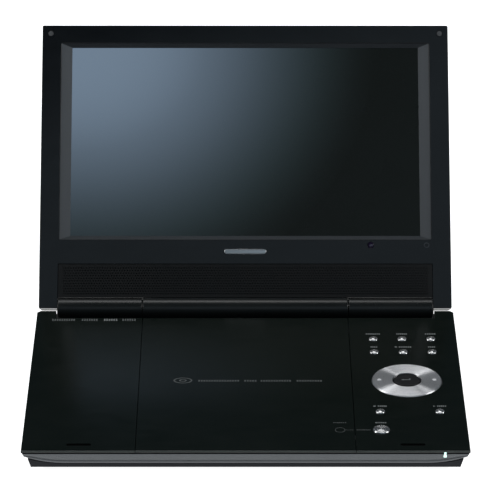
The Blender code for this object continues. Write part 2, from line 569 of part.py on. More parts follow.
def build_keys(base, chrome, metal, dark):
    low, flange = 16.5 * MM, 17.6 * MM
    for name, (x, y) in key_places().items():
        profile = [(3.9 * MM, low - TOP_Z), (3.9 * MM, flange - TOP_Z), (KEY_R, flange - TOP_Z),
                   (KEY_R, KEY_PROUD - 0.3 * MM), (KEY_R - 0.4 * MM, KEY_PROUD),
                   (0.8 * MM, KEY_PROUD - 0.25 * MM)]
        add(name, turned(profile, 16), chrome, at=(x, y, TOP_Z), parent=base)
    nav = (NAV_X, DISC_Y, TOP_Z)
    ring = [(NAV_HOLE_R, -3.4 * MM), (23.4 * MM, -3.4 * MM), (23.4 * MM, -2.6 * MM), (NAV_R, -2.6 * MM),
            (NAV_R, 0.3 * MM), (NAV_R - MM, 0.7 * MM), (15 * MM, 1.2 * MM), (NAV_HOLE_R + 0.6 * MM, 1.0 * MM),
            (NAV_HOLE_R, 0.6 * MM)]
    add("nav_ring", turned(ring, 40, hollow=True), metal, at=nav, parent=base)
    inner, outer = 8.25 * MM, NAV_HOLE_R - 0.4 * MM
    collar = [(inner, -3 * MM), (outer, -3 * MM), (outer, 0.4 * MM), (inner, 0.4 * MM)]
    add("nav_collar", turned(collar, 32, hollow=True), dark, at=nav, parent=base)
    enter = [(7.9 * MM, -3.4 * MM), (7.9 * MM, 0.5 * MM), (7.3 * MM, 0.9 * MM), (3 * MM, 1.05 * MM)]
    add("enter_key", turned(enter, 32), dark, at=nav, parent=base)
    button = [(1.2 * MM, -6 * MM), (1.2 * MM, -5 * MM), (6 * MM, -5 * MM), (6 * MM, -3.8 * MM),
              (OPEN_R, -3.8 * MM), (OPEN_R, 0.9 * MM), (OPEN_R - 0.6 * MM, 1.4 * MM), (1.5 * MM, 1.0 * MM)]
    add("open_button", turned(button, 28), chrome, at=(OPEN_X, OPEN_Y, TOP_Z), parent=base)


def build_side_controls(base, dark):
    teeth = 24
    outline = []
    for i in range(2 * teeth):
        a, r = math.pi * i / teeth, VOLUME_R - (0.5 * MM if i % 2 else 0)
        outline.append((r * math.cos(a), r * math.sin(a)))
    wheel = prism(outline, -1.3 * MM, 1.3 * MM)
    add("volume_wheel", wheel, dark, at=(VOLUME_X, VOLUME_Y, VOLUME_Z), parent=base)
    knob = add("power_switch", box(-6.7 * MM, 0.5 * MM, -4 * MM, 4 * MM, -1.7 * MM, 1.7 * MM), dark,
               at=(SIDE_X, POWER_Y, JACK_Z), parent=base)
    join(knob, box(-8.7 * MM, -6.1 * MM, -5 * MM, 5 * MM, -2.6 * MM, 2.6 * MM), knob)
    for groove in (-2.4 * MM, -0.4 * MM, 1.6 * MM):
        cut(knob, box(0, CUT, groove, groove + 0.8 * MM, -2 * MM, 2 * MM), knob)


def build_jacks(base, dark):
    """The block of three 3.5 mm sockets, and the power socket with its centre pin."""
    z0, z1, inner = JACK_Z - 3 * MM, JACK_Z + 3 * MM, SIDE_X - 4.7 * MM
    block = box(inner - 14 * MM, inner, PHONE_Y[0] - 5.5 * MM, PHONE_Y[-1] + 5.5 * MM, z0, z1)
    jacks = add("av_jacks", block, dark, parent=base)
    for y in PHONE_Y:
        join(jacks, side_tube(3.6 * MM, -5.7 * MM, -1.3 * MM, y), base)
        cut(jacks, side_tube(1.8 * MM, -16.2 * MM, CUT, y, 16), base)
    block = box(inner - 12 * MM, inner, DC_Y - 5 * MM, DC_Y + 5 * MM, z0, z1 + 0.1 * MM)
    power = add("dc_jack", block, dark, parent=base)
    join(power, side_tube(4.3 * MM, -5.7 * MM, -1.3 * MM, DC_Y, 24), base)
    cut(power, side_tube(2.6 * MM, -12.7 * MM, CUT, DC_Y), base)
    join(power, side_tube(0.8 * MM, -14.7 * MM, -2.7 * MM, DC_Y, 10), base)


# ---------------------------------------------------------------- boards and battery

def build_boards(base, board_mat, rubber):
    plate = box(68 * MM, 122.4 * MM, -146 * MM, -24 * MM, 6 * MM, 7.4 * MM)
    board = add("main_circuit_board", plate, board_mat, parent=base)
    chips = ((74, -80, 20, 20, 2.2), (76, -120, 14, 14, 1.6), (78, -50, 12, 16, 3.2), (98, -62, 10, 10, 4))
    for x, y, width, depth, height in chips:
        chip = box(x * MM, (x + width) * MM, y * MM, (y + depth) * MM, 7 * MM, (7.4 + height) * MM)
        join(board, chip, base)
    add("control_circuit_board", box(70 * MM, 122.4 * MM, -152 * MM, -32 * MM, 14 * MM, 15 * MM), board_mat,
        parent=base)
    sheet = box(71 * MM, 122 * MM, -150 * MM, -34 * MM, 15.3 * MM, 15.6 * MM)
    rubber_mat = add("key_mat", sheet, rubber, parent=base)
    for x, y in key_places().values():
        dome = turned([(2.6 * MM, 15.4 * MM), (2.6 * MM, 15.5 * MM), (1.6 * MM, 15.9 * MM)], 12, (x, y))
        join(rubber_mat, dome, base)


def build_battery(base, case_mat, latch_mat):
    x0, x1, y0, y1 = BAY[0] + GAP, BAY[1] - GAP, BAY[2] + GAP, BAY[3] - GAP
    pack = add("battery_pack", box(x0, x1, y0, y1, FOOT_H + 0.1 * MM, 15.5 * MM), case_mat, parent=base)
    cut(pack, box(x1 - 3 * MM, x1 + CUT, -95.5 * MM, -88.5 * MM, 3.5 * MM, 5.6 * MM), base)
    slider = add("battery_latch", box(-6 * MM, 6 * MM, -4 * MM, 4 * MM, -0.9 * MM, 2.2 * MM), latch_mat,
                 at=BATTERY_LATCH, parent=base)
    join(slider, box(-10 * MM, 10 * MM, -5.5 * MM, 5.5 * MM, 1.3 * MM, 2.6 * MM), slider)
    join(slider, box(-14 * MM, -9 * MM, -3 * MM, 3 * MM, 1.3 * MM, 2.6 * MM), slider)
    for groove in (-3.2 * MM, -0.4 * MM, 2.4 * MM):
        cut(slider, box(groove, groove + 0.8 * MM, -3 * MM, 3 * MM, -2 * MM, -0.4 * MM), slider)


def main():
    clear_scene()
    gloss = material("gloss_black", (0.008, 0.009, 0.010), 0.12)
    black = material("satin_black", (0.012, 0.013, 0.014), 0.4)
    hull = material("hull_grey_black", (0.025, 0.028, 0.032), 0.45)
    gunmetal = material("gunmetal_trim", (0.12, 0.13, 0.14), 0.35, 0.6)
    silver = material("spun_silver", (0.7, 0.71, 0.72), 0.25, 1.0)
    chrome = material("key_chrome", (0.8, 0.8, 0.82), 0.15, 1.0)
    steel = material("steel", (0.55, 0.56, 0.58), 0.35, 1.0)
    rubber = material("rubber", (0.02, 0.02, 0.02), 0.8)
    glass = material("screen_glass", (0.01, 0.012, 0.014), 0.08)
    board = material("circuit_board", (0.02, 0.12, 0.05), 0.5)
    lamp = material("lamp_lens", (0.75, 1.0, 0.92), 0.3)

    base = frame_empty("base_frame", (0, HINGE_Y, 0))
    lid = frame_empty("lid_frame", (0, HINGE_Y, HINGE_Z), -OPEN_ANGLE)

    build_bottom_shell(base, hull)
    build_top_panels(base, gloss)
    build_front(base, gunmetal, lamp)
    build_feet_and_screws(base, rubber, steel)
    build_hinge(base, lid, gloss, steel)
    build_bezel(lid, gloss)
    build_back_cover(lid, gloss)
    build_display(lid, glass, black)
    build_lid_electronics(lid, board, black)
    build_lid_trim(lid, black, black, rubber)
    build_door(base, gloss)
    build_deck(base, black)
    build_drive(base, steel, black)
    build_latch(base, steel)
    build_keys(base, chrome, silver, black)
    build_side_controls(base, black)
    build_jacks(base, black)
    build_boards(base, board, rubber)
    build_battery(base, hull, black)


main()
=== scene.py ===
"""The looks of the portable disc player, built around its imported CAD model.

Base pieces are drawn in the base frame: x to the right, y behind the hinge line, z above the floor.
Lid pieces are drawn in the lid frame, as they lie with the lid shut, and LID turns that frame open.
"""

import json
import math

import bmesh
import bpy
from mathutils import Matrix, Quaternion, Vector


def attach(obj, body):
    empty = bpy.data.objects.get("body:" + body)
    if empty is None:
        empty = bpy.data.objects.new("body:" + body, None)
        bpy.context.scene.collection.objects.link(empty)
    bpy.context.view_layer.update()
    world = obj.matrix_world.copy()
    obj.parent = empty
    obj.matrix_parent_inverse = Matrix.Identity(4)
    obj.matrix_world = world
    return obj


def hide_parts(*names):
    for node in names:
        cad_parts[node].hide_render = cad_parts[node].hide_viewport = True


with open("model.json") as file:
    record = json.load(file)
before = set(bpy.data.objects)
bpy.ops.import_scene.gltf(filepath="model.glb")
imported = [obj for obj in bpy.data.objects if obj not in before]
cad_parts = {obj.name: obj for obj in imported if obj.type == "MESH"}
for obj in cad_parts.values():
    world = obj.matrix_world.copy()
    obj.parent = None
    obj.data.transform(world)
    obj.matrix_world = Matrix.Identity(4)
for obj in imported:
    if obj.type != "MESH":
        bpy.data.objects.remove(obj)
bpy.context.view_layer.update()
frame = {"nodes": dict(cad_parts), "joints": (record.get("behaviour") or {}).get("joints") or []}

MM = 0.001


def mm(*lengths):
    return tuple(length * MM for length in lengths)


JOINTS = {joint["name"]: joint for joint in frame["joints"]}
HINGE = Vector(JOINTS["lid_hinge"]["pos_m"])
OPENING = -math.radians(JOINTS["lid_hinge"]["range_deg"][0])
LID = Matrix.Translation(HINGE) @ Matrix.Rotation(-OPENING, 4, "X")
BASE = Matrix.Translation((0, HINGE.y, 0))
FINE = 96                                   # segments of a large round piece
PRINT_T = 0.03 * MM                         # thickness of a printed mark

# Lid frame: the window in the bezel, and the display area inside its sloping surround (x0, x1, y0, y1)
WINDOW = mm(-120.3, 120.3, -180.0, -47.6)
DISPLAY_AREA = mm(-113.3, 113.3, -177.2, -50.4)
LID_END = -9 * MM                           # lower edge of the lid between its arms

# Base frame
PAD = mm(15, 2.6)                           # length and width of a rest pad
PAD_X, PAD_Y = mm(99.2, -183.2)
LEAF_T = 0.9 * MM                           # thickness of the top plates' overhanging edge
LEAF_ROUND = 0.82 * MM                      # radius of its rounded top
REBATE = 1.3 * MM                           # how far the plates stand back below that edge
TRIM_TURN = 105 * MM                        # the trim's lower edge is level up to here, then rises
TRIM_END_LOW, TRIM_END_TOP = mm(131.2, 132.3)
TRIM_RISE = 5.2 * MM
SOCKET_Y = mm(-128, -113, -98)
SOCKET_Z = 10.7 * MM
BEAD = 1.15 * MM                            # spacing of the dashes that stand for small lettering

# Camera: where it looks, its sideways offset, height angle, roll, distance and focal length
TARGET = Vector((2.98 * MM, HINGE.y, HINGE.z + 42.8 * MM))
VIEW_SIDE = -6.4 * MM
VIEW_HEIGHT = math.radians(25.74)
VIEW_ROLL = math.radians(0.09)
VIEW_DISTANCE = 2.148
LENS = 242.8


def box_in(place, node):
    """A CAD node's lowest and highest corners in the frame that `place` sets up."""
    inverse = place.inverted()
    points = [inverse @ vert.co for vert in frame["nodes"][node].data.vertices]
    return tuple(Vector(pick(p[axis] for p in points) for axis in range(3)) for pick in (min, max))


def middle_and_radius(place, node):
    """The middle of a node's box, and half its width."""
    low, high = box_in(place, node)
    return (low + high) / 2, (high.x - low.x) / 2


# ---------------------------------------------------------------- mesh helpers

def arc(x, y, radius, start, end, steps):
    turns = [math.radians(start + (end - start) * i / steps) for i in range(steps + 1)]
    return [(x + radius * math.cos(t), y + radius * math.sin(t)) for t in turns]


def circle(radius, segments=48, x=0.0, y=0.0):
    return arc(x, y, radius, 0, 360 - 360 / segments, segments - 1)


def rounded_rect(x0, x1, y0, y1, radius, steps=5):
    corners = ((x1 - radius, y1 - radius, 0), (x0 + radius, y1 - radius, 90),
               (x0 + radius, y0 + radius, 180), (x1 - radius, y0 + radius, 270))
    return [p for x, y, turn in corners for p in arc(x, y, radius, turn, turn + 90, steps)]


def rounding(radius, steps, first=0):
    """(inset, drop) round a quarter turn, from an upright face (0, radius) to a level one (radius, 0)."""
    turns = [math.pi / 2 * i / steps for i in range(first, steps + 1)]
    return [(radius * (1 - math.cos(a)), radius * (1 - math.sin(a))) for a in turns]


def rectangle(x0, x1, y0, y1):
    return [(x0, y0), (x1, y0), (x1, y1), (x0, y1)]


def ring_at(outline, z):
    return [(x, y, z) for x, y in outline]


def ring_round(corners, grow, z, radius, steps=5):
    """A ring at height z round a rectangle (x0, x1, y0, y1) that is grown by that much on every side."""
    x0, x1, y0, y1 = corners
    return ring_at(rounded_rect(x0 - grow, x1 + grow, y0 - grow, y1 + grow, radius, steps), z)


def in_mm(steps, r0=0.0, z0=0.0):
    """(radius, z) points from steps in millimetres beyond r0 and z0."""
    return [(r0 + r * MM, z0 + z * MM) for r, z in steps]


def loft(rings, closed=False):
    """Skins rings of equal point count. An open loft gets caps, a closed one joins its last ring on."""
    bm = bmesh.new()
    loops = [[bm.verts.new(p) for p in ring] for ring in rings]
    pairs = list(zip(loops, loops[1:]))
    if closed:
        pairs.append((loops[-1], loops[0]))
    else:
        bm.faces.new(loops[0])
        bm.faces.new(loops[-1])
    for low, high in pairs:
        for i in range(len(low)):
            j = (i + 1) % len(low)
            bm.faces.new((low[i], low[j], high[j], high[i]))
    bmesh.ops.recalc_face_normals(bm, faces=bm.faces)
    return bm


def prism(outline, z0, z1):
    return loft([ring_at(outline, z0), ring_at(outline, z1)])


def box(x0, x1, y0, y1, z0, z1):
    return prism(rectangle(x0, x1, y0, y1), z0, z1)


def turned(profile, segments=48, hollow=False):
    """A solid of revolution about z from (radius, z) points. A hollow one's points run round its wall."""
    return loft([ring_at(circle(r, segments), z) for r, z in profile], closed=hollow)


def along_x(bm):
    """Lays a mesh drawn along z down along x."""
    turn = Matrix(((0, 0, 1, 0), (1, 0, 0, 0), (0, 1, 0, 0), (0, 0, 0, 1)))
    bmesh.ops.transform(bm, matrix=turn, verts=bm.verts)
    return bm


def shifted(bm, x=0.0, y=0.0, z=0.0):
    bmesh.ops.translate(bm, verts=bm.verts, vec=(x, y, z))
    return bm


def joined(parts):
    """One mesh of several separate solids."""
    whole = bmesh.new()
    for part in parts:
        mesh = bpy.data.meshes.new("part")
        part.to_mesh(mesh)
        part.free()
        whole.from_mesh(mesh)
        bpy.data.meshes.remove(mesh)
    return whole


def carved(bm, cutters, operation="DIFFERENCE"):
    """bm with each cutter taken from it, or joined on to it."""
    target = plain_object("carved", bm)
    helpers = [plain_object("cutter", cutter) for cutter in cutters]
    for helper in helpers:
        modifier = target.modifiers.new("cut", "BOOLEAN")
        modifier.operation = operation
        modifier.object = helper
    bpy.context.view_layer.update()
    evaluated = target.evaluated_get(bpy.context.evaluated_depsgraph_get())
    result = bmesh.new()
    result.from_mesh(evaluated.to_mesh())
    for obj in (target, *helpers):
        mesh = obj.data
        bpy.data.objects.remove(obj)
        bpy.data.meshes.remove(mesh)
    return result


def plain_object(name, bm):
    mesh = bpy.data.meshes.new(name)
    bm.to_mesh(mesh)
    bm.free()
    obj = bpy.data.objects.new(name, mesh)
    bpy.context.scene.collection.objects.link(obj)
    return obj


def add_bevel(obj, width, segments, angle=38):
    """Rounds every edge sharper than angle, and shades the faces between them flat."""
    bevel = obj.modifiers.new("edge_round", "BEVEL")
    bevel.width = width
    bevel.segments = segments
    bevel.limit_method = "ANGLE"
    bevel.angle_limit = math.radians(angle)
    bevel.use_clamp_overlap = True
    normals = obj.modifiers.new("flat_faces", "WEIGHTED_NORMAL")
    normals.keep_sharp = True
    normals.weight = 80


def piece(name, bm, mat, body, at=BASE, replaces=(), bevel=0.0, sharp=35):
    """A visible piece that rides on a CAD body. `at` is the frame its mesh is drawn in."""
    obj = plain_object(name, bm)
    obj.data.materials.append(mat)
    obj.data.shade_smooth()
    obj.data.set_sharp_from_angle(angle=math.radians(sharp))
    obj.matrix_world = at
    if bevel:
        add_bevel(obj, bevel, 2)
    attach(obj, body)
    if replaces:
        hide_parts(*replaces)
    return obj


def keep_node(name, mat, bevel, segments=2):
    """Shows a CAD node as it is, with its edges rounded and its own material."""
    obj = frame["nodes"][name]
    obj.data.materials.clear()
    obj.data.materials.append(mat)
    weld = obj.modifiers.new("weld", "WELD")
    weld.merge_threshold = 0.002 * MM
    flat = obj.modifiers.new("flat", "DECIMATE")
    flat.decimate_type = "DISSOLVE"
    flat.angle_limit = math.radians(1)
    if bevel:
        add_bevel(obj, bevel, segments)


# ---------------------------------------------------------------- materials

class Nodes:
    """A material's node tree, with short calls for the nodes used here."""

    def __init__(self, name):
        self.material = bpy.data.materials.new(name)
        self.material.use_nodes = True
        self.tree = self.material.node_tree
        self.shader = self.tree.nodes["Principled BSDF"]
        self.coordinates = self.tree.nodes.new("ShaderNodeTexCoord").outputs["Object"]

    def set(self, **values):
        for name, value in values.items():
            self.shader.inputs[name.replace("_", " ")].default_value = value

    def link(self, source, target):
        self.tree.links.new(source, target)

    def node(self, kind, inputs=None, **settings):
        node = self.tree.nodes.new(kind)
        for name, value in settings.items():
            setattr(node, name, value)
        for name, value in (inputs or {}).items():
            node.inputs[name].default_value = value
        return node

    def scaled(self, scale):
        """Object coordinates stretched by scale along x, y and z."""
        mapping = self.node("ShaderNodeMapping", {"Scale": scale})
        self.link(self.coordinates, mapping.inputs["Vector"])
        return mapping.outputs["Vector"]

    def noise(self, scale, detail=2.0, vector=None, roughness=0.5):
        noise = self.node("ShaderNodeTexNoise", {"Scale": scale, "Detail": detail, "Roughness": roughness})
        self.link(vector or self.coordinates, noise.inputs["Vector"])
        return noise.outputs["Fac"]

    def spread(self, source, low, high, from_low=0.3, from_high=0.7):
        """Maps a 0 to 1 pattern onto low to high."""
        ends = {"From Min": from_low, "From Max": from_high, "To Min": low, "To Max": high}
        mapping = self.node("ShaderNodeMapRange", ends)
        self.link(source, mapping.inputs["Value"])
        return mapping.outputs["Result"]

    def mix(self, factor, first, second):
        mix = self.node("ShaderNodeMix", data_type="RGBA")
        self.link(factor, mix.inputs["Factor"])
        for socket, value in ((mix.inputs["A"], first), (mix.inputs["B"], second)):
            if isinstance(value, tuple):
                socket.default_value = (*value, 1)
            else:
                self.link(value, socket)
        return mix.outputs["Result"]

    def calculate(self, operation, source, value, extra=None):
        node = self.node("ShaderNodeMath", operation=operation)
        self.link(source, node.inputs[0])
        node.inputs[1].default_value = value
        if extra:
            self.link(extra, node.inputs[2])
        return node.outputs[0]

    def color(self, source):
        self.link(source, self.shader.inputs["Base Color"])

    def tones(self, pattern, dark, light):
        self.color(self.mix(self.spread(pattern, 0, 1), dark, light))

    def roughness(self, pattern, low, high):
        self.link(self.spread(pattern, low, high), self.shader.inputs["Roughness"])

    def bump(self, height, distance, strength=1.0, onto=None):
        """Adds relief of that depth in metres, over an earlier bump if one is given."""
        bump = self.node("ShaderNodeBump", {"Distance": distance, "Strength": strength})
        self.link(height, bump.inputs["Height"])
        if onto:
            self.link(onto, bump.inputs["Normal"])
        self.link(bump.outputs["Normal"], self.shader.inputs["Normal"])
        return bump.outputs["Normal"]


def lacquer(name, dark, light, low, high, specular):
    """Smooth moulded or lacquered plastic: cloudy tone, uneven gloss, faint orange peel and fine dust."""
    m = Nodes(name)
    m.tones(m.noise(18, 4), dark, light)
    smears = m.noise(45, 5, m.scaled((1, 2.5, 1)), 0.6)
    m.roughness(smears, low, high)
    m.set(Specular_IOR_Level=specular)
    peeled = m.bump(m.noise(900, 1), 0.004 * MM, 0.6)
    m.bump(m.noise(5200, 2), 0.002 * MM, 0.35, onto=peeled)
    return m.material


def grained(name, dark, light, grain, depth, low, high, specular):
    """Moulded plastic or rubber with an etched grain of that many grains per metre."""
    m = Nodes(name)
    spots = m.noise(grain, 3, roughness=0.7)
    m.tones(spots, dark, light)
    m.roughness(m.noise(60, 4), low, high)
    m.set(Specular_IOR_Level=specular)
    m.bump(spots, depth, 0.8)
    return m.material


def flake_paint(name, dark, light):
    """Metallic paint: fine flakes under a soft clear coat."""
    m = Nodes(name)
    flakes = m.node("ShaderNodeTexVoronoi", {"Scale": 6500})
    m.link(m.coordinates, flakes.inputs["Vector"])
    shade = m.node("ShaderNodeSeparateColor")
    m.link(flakes.outputs["Color"], shade.inputs["Color"])
    m.color(m.mix(m.spread(shade.outputs["Red"], 0, 1, 0, 1), dark, light))
    m.roughness(m.noise(70, 4), 0.3, 0.42)
    m.set(Metallic=0.55, Coat_Weight=0.25, Coat_Roughness=0.15)
    m.bump(shade.outputs["Green"], 0.003 * MM, 0.5)
    return m.material


def spun_metal(name, tone, rough, rings, anisotropy, metallic, relief):
    """Metal turned on a lathe about z: fine concentric grooves and a highlight that fans out."""
    m = Nodes(name)
    position = m.node("ShaderNodeSeparateXYZ")
    m.link(m.coordinates, position.inputs["Vector"])
    across = m.node("ShaderNodeCombineXYZ")
    m.link(position.outputs["X"], across.inputs["X"])
    m.link(position.outputs["Y"], across.inputs["Y"])
    radius = m.node("ShaderNodeVectorMath", operation="LENGTH")
    m.link(across.outputs["Vector"], radius.inputs[0])
    grooves = m.node("ShaderNodeTexNoise", {"Scale": rings, "Detail": 3}, noise_dimensions="1D")
    m.link(radius.outputs["Value"], grooves.inputs["W"])
    darker = tuple(0.78 * c for c in tone)
    m.tones(grooves.outputs["Fac"], darker, tone)
    m.roughness(grooves.outputs["Fac"], rough * 0.8, rough * 1.25)
    m.set(Metallic=metallic, Anisotropic=anisotropy, Anisotropic_Rotation=0.25)
    tangent = m.node("ShaderNodeTangent", direction_type="RADIAL", axis="Z")
    m.link(tangent.outputs["Tangent"], m.shader.inputs["Tangent"])
    m.bump(grooves.outputs["Fac"], relief, 0.5)
    return m.material


def brushed(name, tone, stretch, rough):
    """Bare sheet or drawn metal with fine lines along one direction."""
    m = Nodes(name)
    lines = m.noise(220, 4, m.scaled(stretch))
    m.tones(lines, tuple(0.8 * c for c in tone), tone)
    m.roughness(lines, rough * 0.8, rough * 1.2)
    m.set(Metallic=1.0)
    m.bump(lines, 0.003 * MM, 0.5)
    return m.material


def printed(name, tone):
    """Silk-screened paint, a little thin in places."""
    m = Nodes(name)
    m.tones(m.noise(2500, 3), tuple(0.75 * c for c in tone), tone)
    m.roughness(m.noise(900, 2), 0.45, 0.6)
    m.bump(m.noise(4000, 2), 0.004 * MM, 0.5)
    return m.material


def circuit(name):
    """Green solder mask with copper lines under it."""
    m = Nodes(name)
    brick = m.node("ShaderNodeTexBrick", {
        "Scale": 160, "Mortar Size": 0.035, "Brick Width": 0.9, "Row Height": 0.3,
        "Color1": (0.008, 0.075, 0.028, 1), "Color2": (0.010, 0.095, 0.035, 1),
        "Mortar": (0.03, 0.17, 0.06, 1),
    })
    m.link(m.coordinates, brick.inputs["Vector"])
    m.color(brick.outputs["Color"])
    m.roughness(m.noise(120, 3), 0.3, 0.5)
    m.bump(brick.outputs["Fac"], -0.02 * MM, 0.5)
    return m.material


def screen(name, low, high):
    """Painted reflection on the display, given as a glow: blue-grey from one upper corner, fading to black.

    low and high are the display area's corners in the lid frame."""
    m = Nodes(name)
    position = m.node("ShaderNodeSeparateXYZ")
    m.link(m.coordinates, position.inputs["Vector"])
    # painted reflection: this glow, brightest at one upper corner, stands in for studio light mirrored in the
    # glass
    across = m.spread(position.outputs["X"], 0, 1, low[0], high[0])
    down = m.spread(position.outputs["Y"], 0, 1, low[1], high[1])
    reach = m.calculate("POWER", across, 2.2)
    drop = m.calculate("POWER", down, 2.0)
    wide = m.calculate("MULTIPLY", reach, 1.33)
    fall = m.calculate("MULTIPLY_ADD", drop, 0.53, wide)
    ramp = m.node("ShaderNodeValToRGB")
    ramp.color_ramp.interpolation = "B_SPLINE"
    stops = ((0.0, (0.165, 0.225, 0.300)), (0.16, (0.087, 0.119, 0.157)),
             (0.37, (0.038, 0.054, 0.067)), (0.59, (0.014, 0.022, 0.024)),
             (0.80, (0.0046, 0.0070, 0.0068)), (0.97, (0.0020, 0.0030, 0.0022)))
    while len(ramp.color_ramp.elements) < len(stops):
        ramp.color_ramp.elements.new(0.5)
    for element, (place, tone) in zip(ramp.color_ramp.elements, stops):
        element.position = place
        element.color = (*tone, 1)
    m.link(fall, ramp.inputs["Fac"])
    m.link(ramp.outputs["Color"], m.shader.inputs["Emission Color"])
    m.color(m.mix(m.noise(900, 2), (0.0016, 0.0018, 0.0020), (0.0022, 0.0024, 0.0026)))
    m.roughness(m.noise(40, 4), 0.24, 0.30)
    m.set(Emission_Strength=1.0, Specular_IOR_Level=0.2)
    m.bump(m.noise(7000, 1), 0.001 * MM, 0.3)
    return m.material


def lamp(name):
    """A frosted light pipe, lit pale green-white."""
    m = Nodes(name)
    frost = m.spread(m.noise(1500, 3), 0, 1)
    m.color(m.mix(frost, (0.55, 0.8, 0.72), (0.8, 0.95, 0.9)))
    m.link(m.mix(frost, (0.42, 0.86, 0.76), (0.80, 1.0, 0.95)), m.shader.inputs["Emission Color"])
    m.roughness(m.noise(600, 2), 0.25, 0.4)
    m.set(Emission_Strength=0.9)
    return m.material


def thousandths(tone):
    return tuple(c / 1000 for c in tone)


def make_materials():
    # key: name, darker and lighter tone in thousandths, lowest and highest roughness, specular level
    lacquers = {
        "bezel": ("gloss_black_lid", (3.5, 4.5, 5.5), (4.8, 6, 7.2), 0.12, 0.18, 0.35),
        "back": ("gloss_black_back", (5, 6, 7), (6.5, 7.8, 9), 0.18, 0.26, 0.06),
        "top": ("gloss_black_base", (3.4, 6.2, 4.7), (5, 8.2, 6.5), 0.15, 0.21, 0.27),
        "barrel": ("gloss_black_hinge", (8, 10, 10), (12, 14, 14), 0.26, 0.33, 0.36),
        "lens": ("lens_glass", (10, 4, 20), (16, 8, 30), 0.05, 0.08, 0.8),
    }
    # key: name, both tones, grains per metre, their depth in mm, roughness range, specular level
    plastics = {
        "hull": ("etched_hull", (6, 7, 10), (10, 12, 15), 2600, 0.03, 0.42, 0.55, 0.1),
        # display_surround, surround_shade and surround_low are one finish in three tones by facet: sides
        # lightest, top a painted shade, bottom a lighter painted shade
        "surround": ("display_surround", (80, 87, 94), (100, 108, 116), 3000, 0.01, 0.34, 0.42, 0.3),
        "surround_shade": ("surround_shade", (10, 13, 16), (15, 19, 23), 3000, 0.01, 0.4, 0.5, 0.3),
        "surround_low": ("surround_low", (32, 37, 42), (42, 48, 54), 3000, 0.01, 0.4, 0.5, 0.3),
        # a painted highlight for the plates' rounded front edges, far lighter than the plates themselves
        "plate_edge": ("plate_edge", (44, 52, 49), (58, 67, 63), 2600, 0.004, 0.3, 0.4, 0.5),
        "grille": ("grille_black", (4.5, 5.5, 6), (6.5, 7.5, 8), 1800, 0.02, 0.5, 0.65, 0.3),
        # pit is near-black with almost no gloss: painted shade where it fills gaps, partly the own dark of
        # the rest pads
        "pit": ("dark_hole", (1, 1, 1), (2, 2, 2), 900, 0.02, 0.8, 0.95, 0.02),
        "dark": ("dark_plastic", (10, 11, 12), (16, 17, 19), 2400, 0.02, 0.38, 0.5, 0.3),
        "deck": ("deck_plastic", (12, 13, 14), (20, 21, 22), 1700, 0.03, 0.45, 0.6, 0.3),
        "enter": ("enter_plastic", (6, 7, 8), (10, 11, 12), 2600, 0.01, 0.3, 0.4, 0.3),
        "rubber": ("soft_rubber", (6, 6, 6), (10, 10, 10), 1500, 0.05, 0.7, 0.9, 0.2),
        "bumper": ("bumper_rubber", (55, 60, 65), (85, 90, 95), 1500, 0.03, 0.5, 0.7, 0.3),
    }
    mats = {}
    for key, (name, dark, light, *gloss) in lacquers.items():
        mats[key] = lacquer(name, thousandths(dark), thousandths(light), *gloss)
    for key, (name, dark, light, grain, depth, *gloss) in plastics.items():
        mats[key] = grained(name, thousandths(dark), thousandths(light), grain, depth * MM, *gloss)
    return mats | {
        "trim": flake_paint("gunmetal_paint", (0.046, 0.052, 0.057), (0.084, 0.092, 0.098)),
        "ring": spun_metal("spun_ring", (0.92, 0.93, 0.95), 0.33, 9000, 1.0, 0.78, 0.012 * MM),
        "chrome": spun_metal("plated_keys", (0.80, 0.81, 0.82), 0.22, 6000, 0.9, 0.9, 0.0006 * MM),
        "steel": brushed("drawn_steel", (0.50, 0.51, 0.53), (30, 1, 1), 0.32),
        "copper": brushed("gilt_contact", (0.62, 0.46, 0.20), (30, 1, 1), 0.25),
        "badge": brushed("badge_metal", (0.62, 0.64, 0.66), (1, 30, 1), 0.35),
        "white": printed("grey_print", (0.21, 0.225, 0.225)),
        "dot": printed("white_print", (0.93, 0.94, 0.95)),
        "faint": printed("faint_print", (0.10, 0.11, 0.11)),
        "board": circuit("solder_mask"),
        "lamp": lamp("lit_lens"),
    }


# ---------------------------------------------------------------- lid

def build_bezel(mats):
    low, high = box_in(LID, "screen_bezel")
    corner, edge, lip = mm(1.0, 0.4, 0.35)
    gap = 0.3 * MM                          # round the speaker grille
    above = 20 * MM                         # past every face of the bezel

    def outer(inset, z):
        return ring_round((low.x, high.x, low.y, high.y), -inset, z, corner)

    def inner(grow, z):
        return ring_round(WINDOW, grow, z, 0.6 * MM + grow)

    rings = [outer(inset, low.z + drop) for inset, drop in rounding(edge, 4)]
    rings += [inner(drop, low.z + inset) for inset, drop in rounding(lip, 4)]
    rings += [inner(0, high.z - 0.2 * MM), outer(1.2 * MM, high.z - 0.2 * MM), outer(0, high.z - 0.1 * MM)]
    grille_low, grille_high = box_in(LID, "speaker_grille")
    cutters = [box(grille_low.x - gap, grille_high.x + gap, grille_low.y - gap, 5 * MM, 0, above)]
    for name, play, segments in (("lid_bumper_left", 0.2, 32), ("lid_bumper_right", 0.2, 32),
                                 ("remote_sensor_window", 0.1, 40)):
        middle, radius = middle_and_radius(LID, name)
        radius += play * MM
        cutters.append(shifted(turned([(radius, 0), (radius, above)], segments), middle.x, middle.y))
    bezel = carved(loft(rings, closed=True), cutters)
    piece("bezel", bezel, mats["bezel"], "lid", LID, ("screen_bezel",), bevel=0.22 * MM)


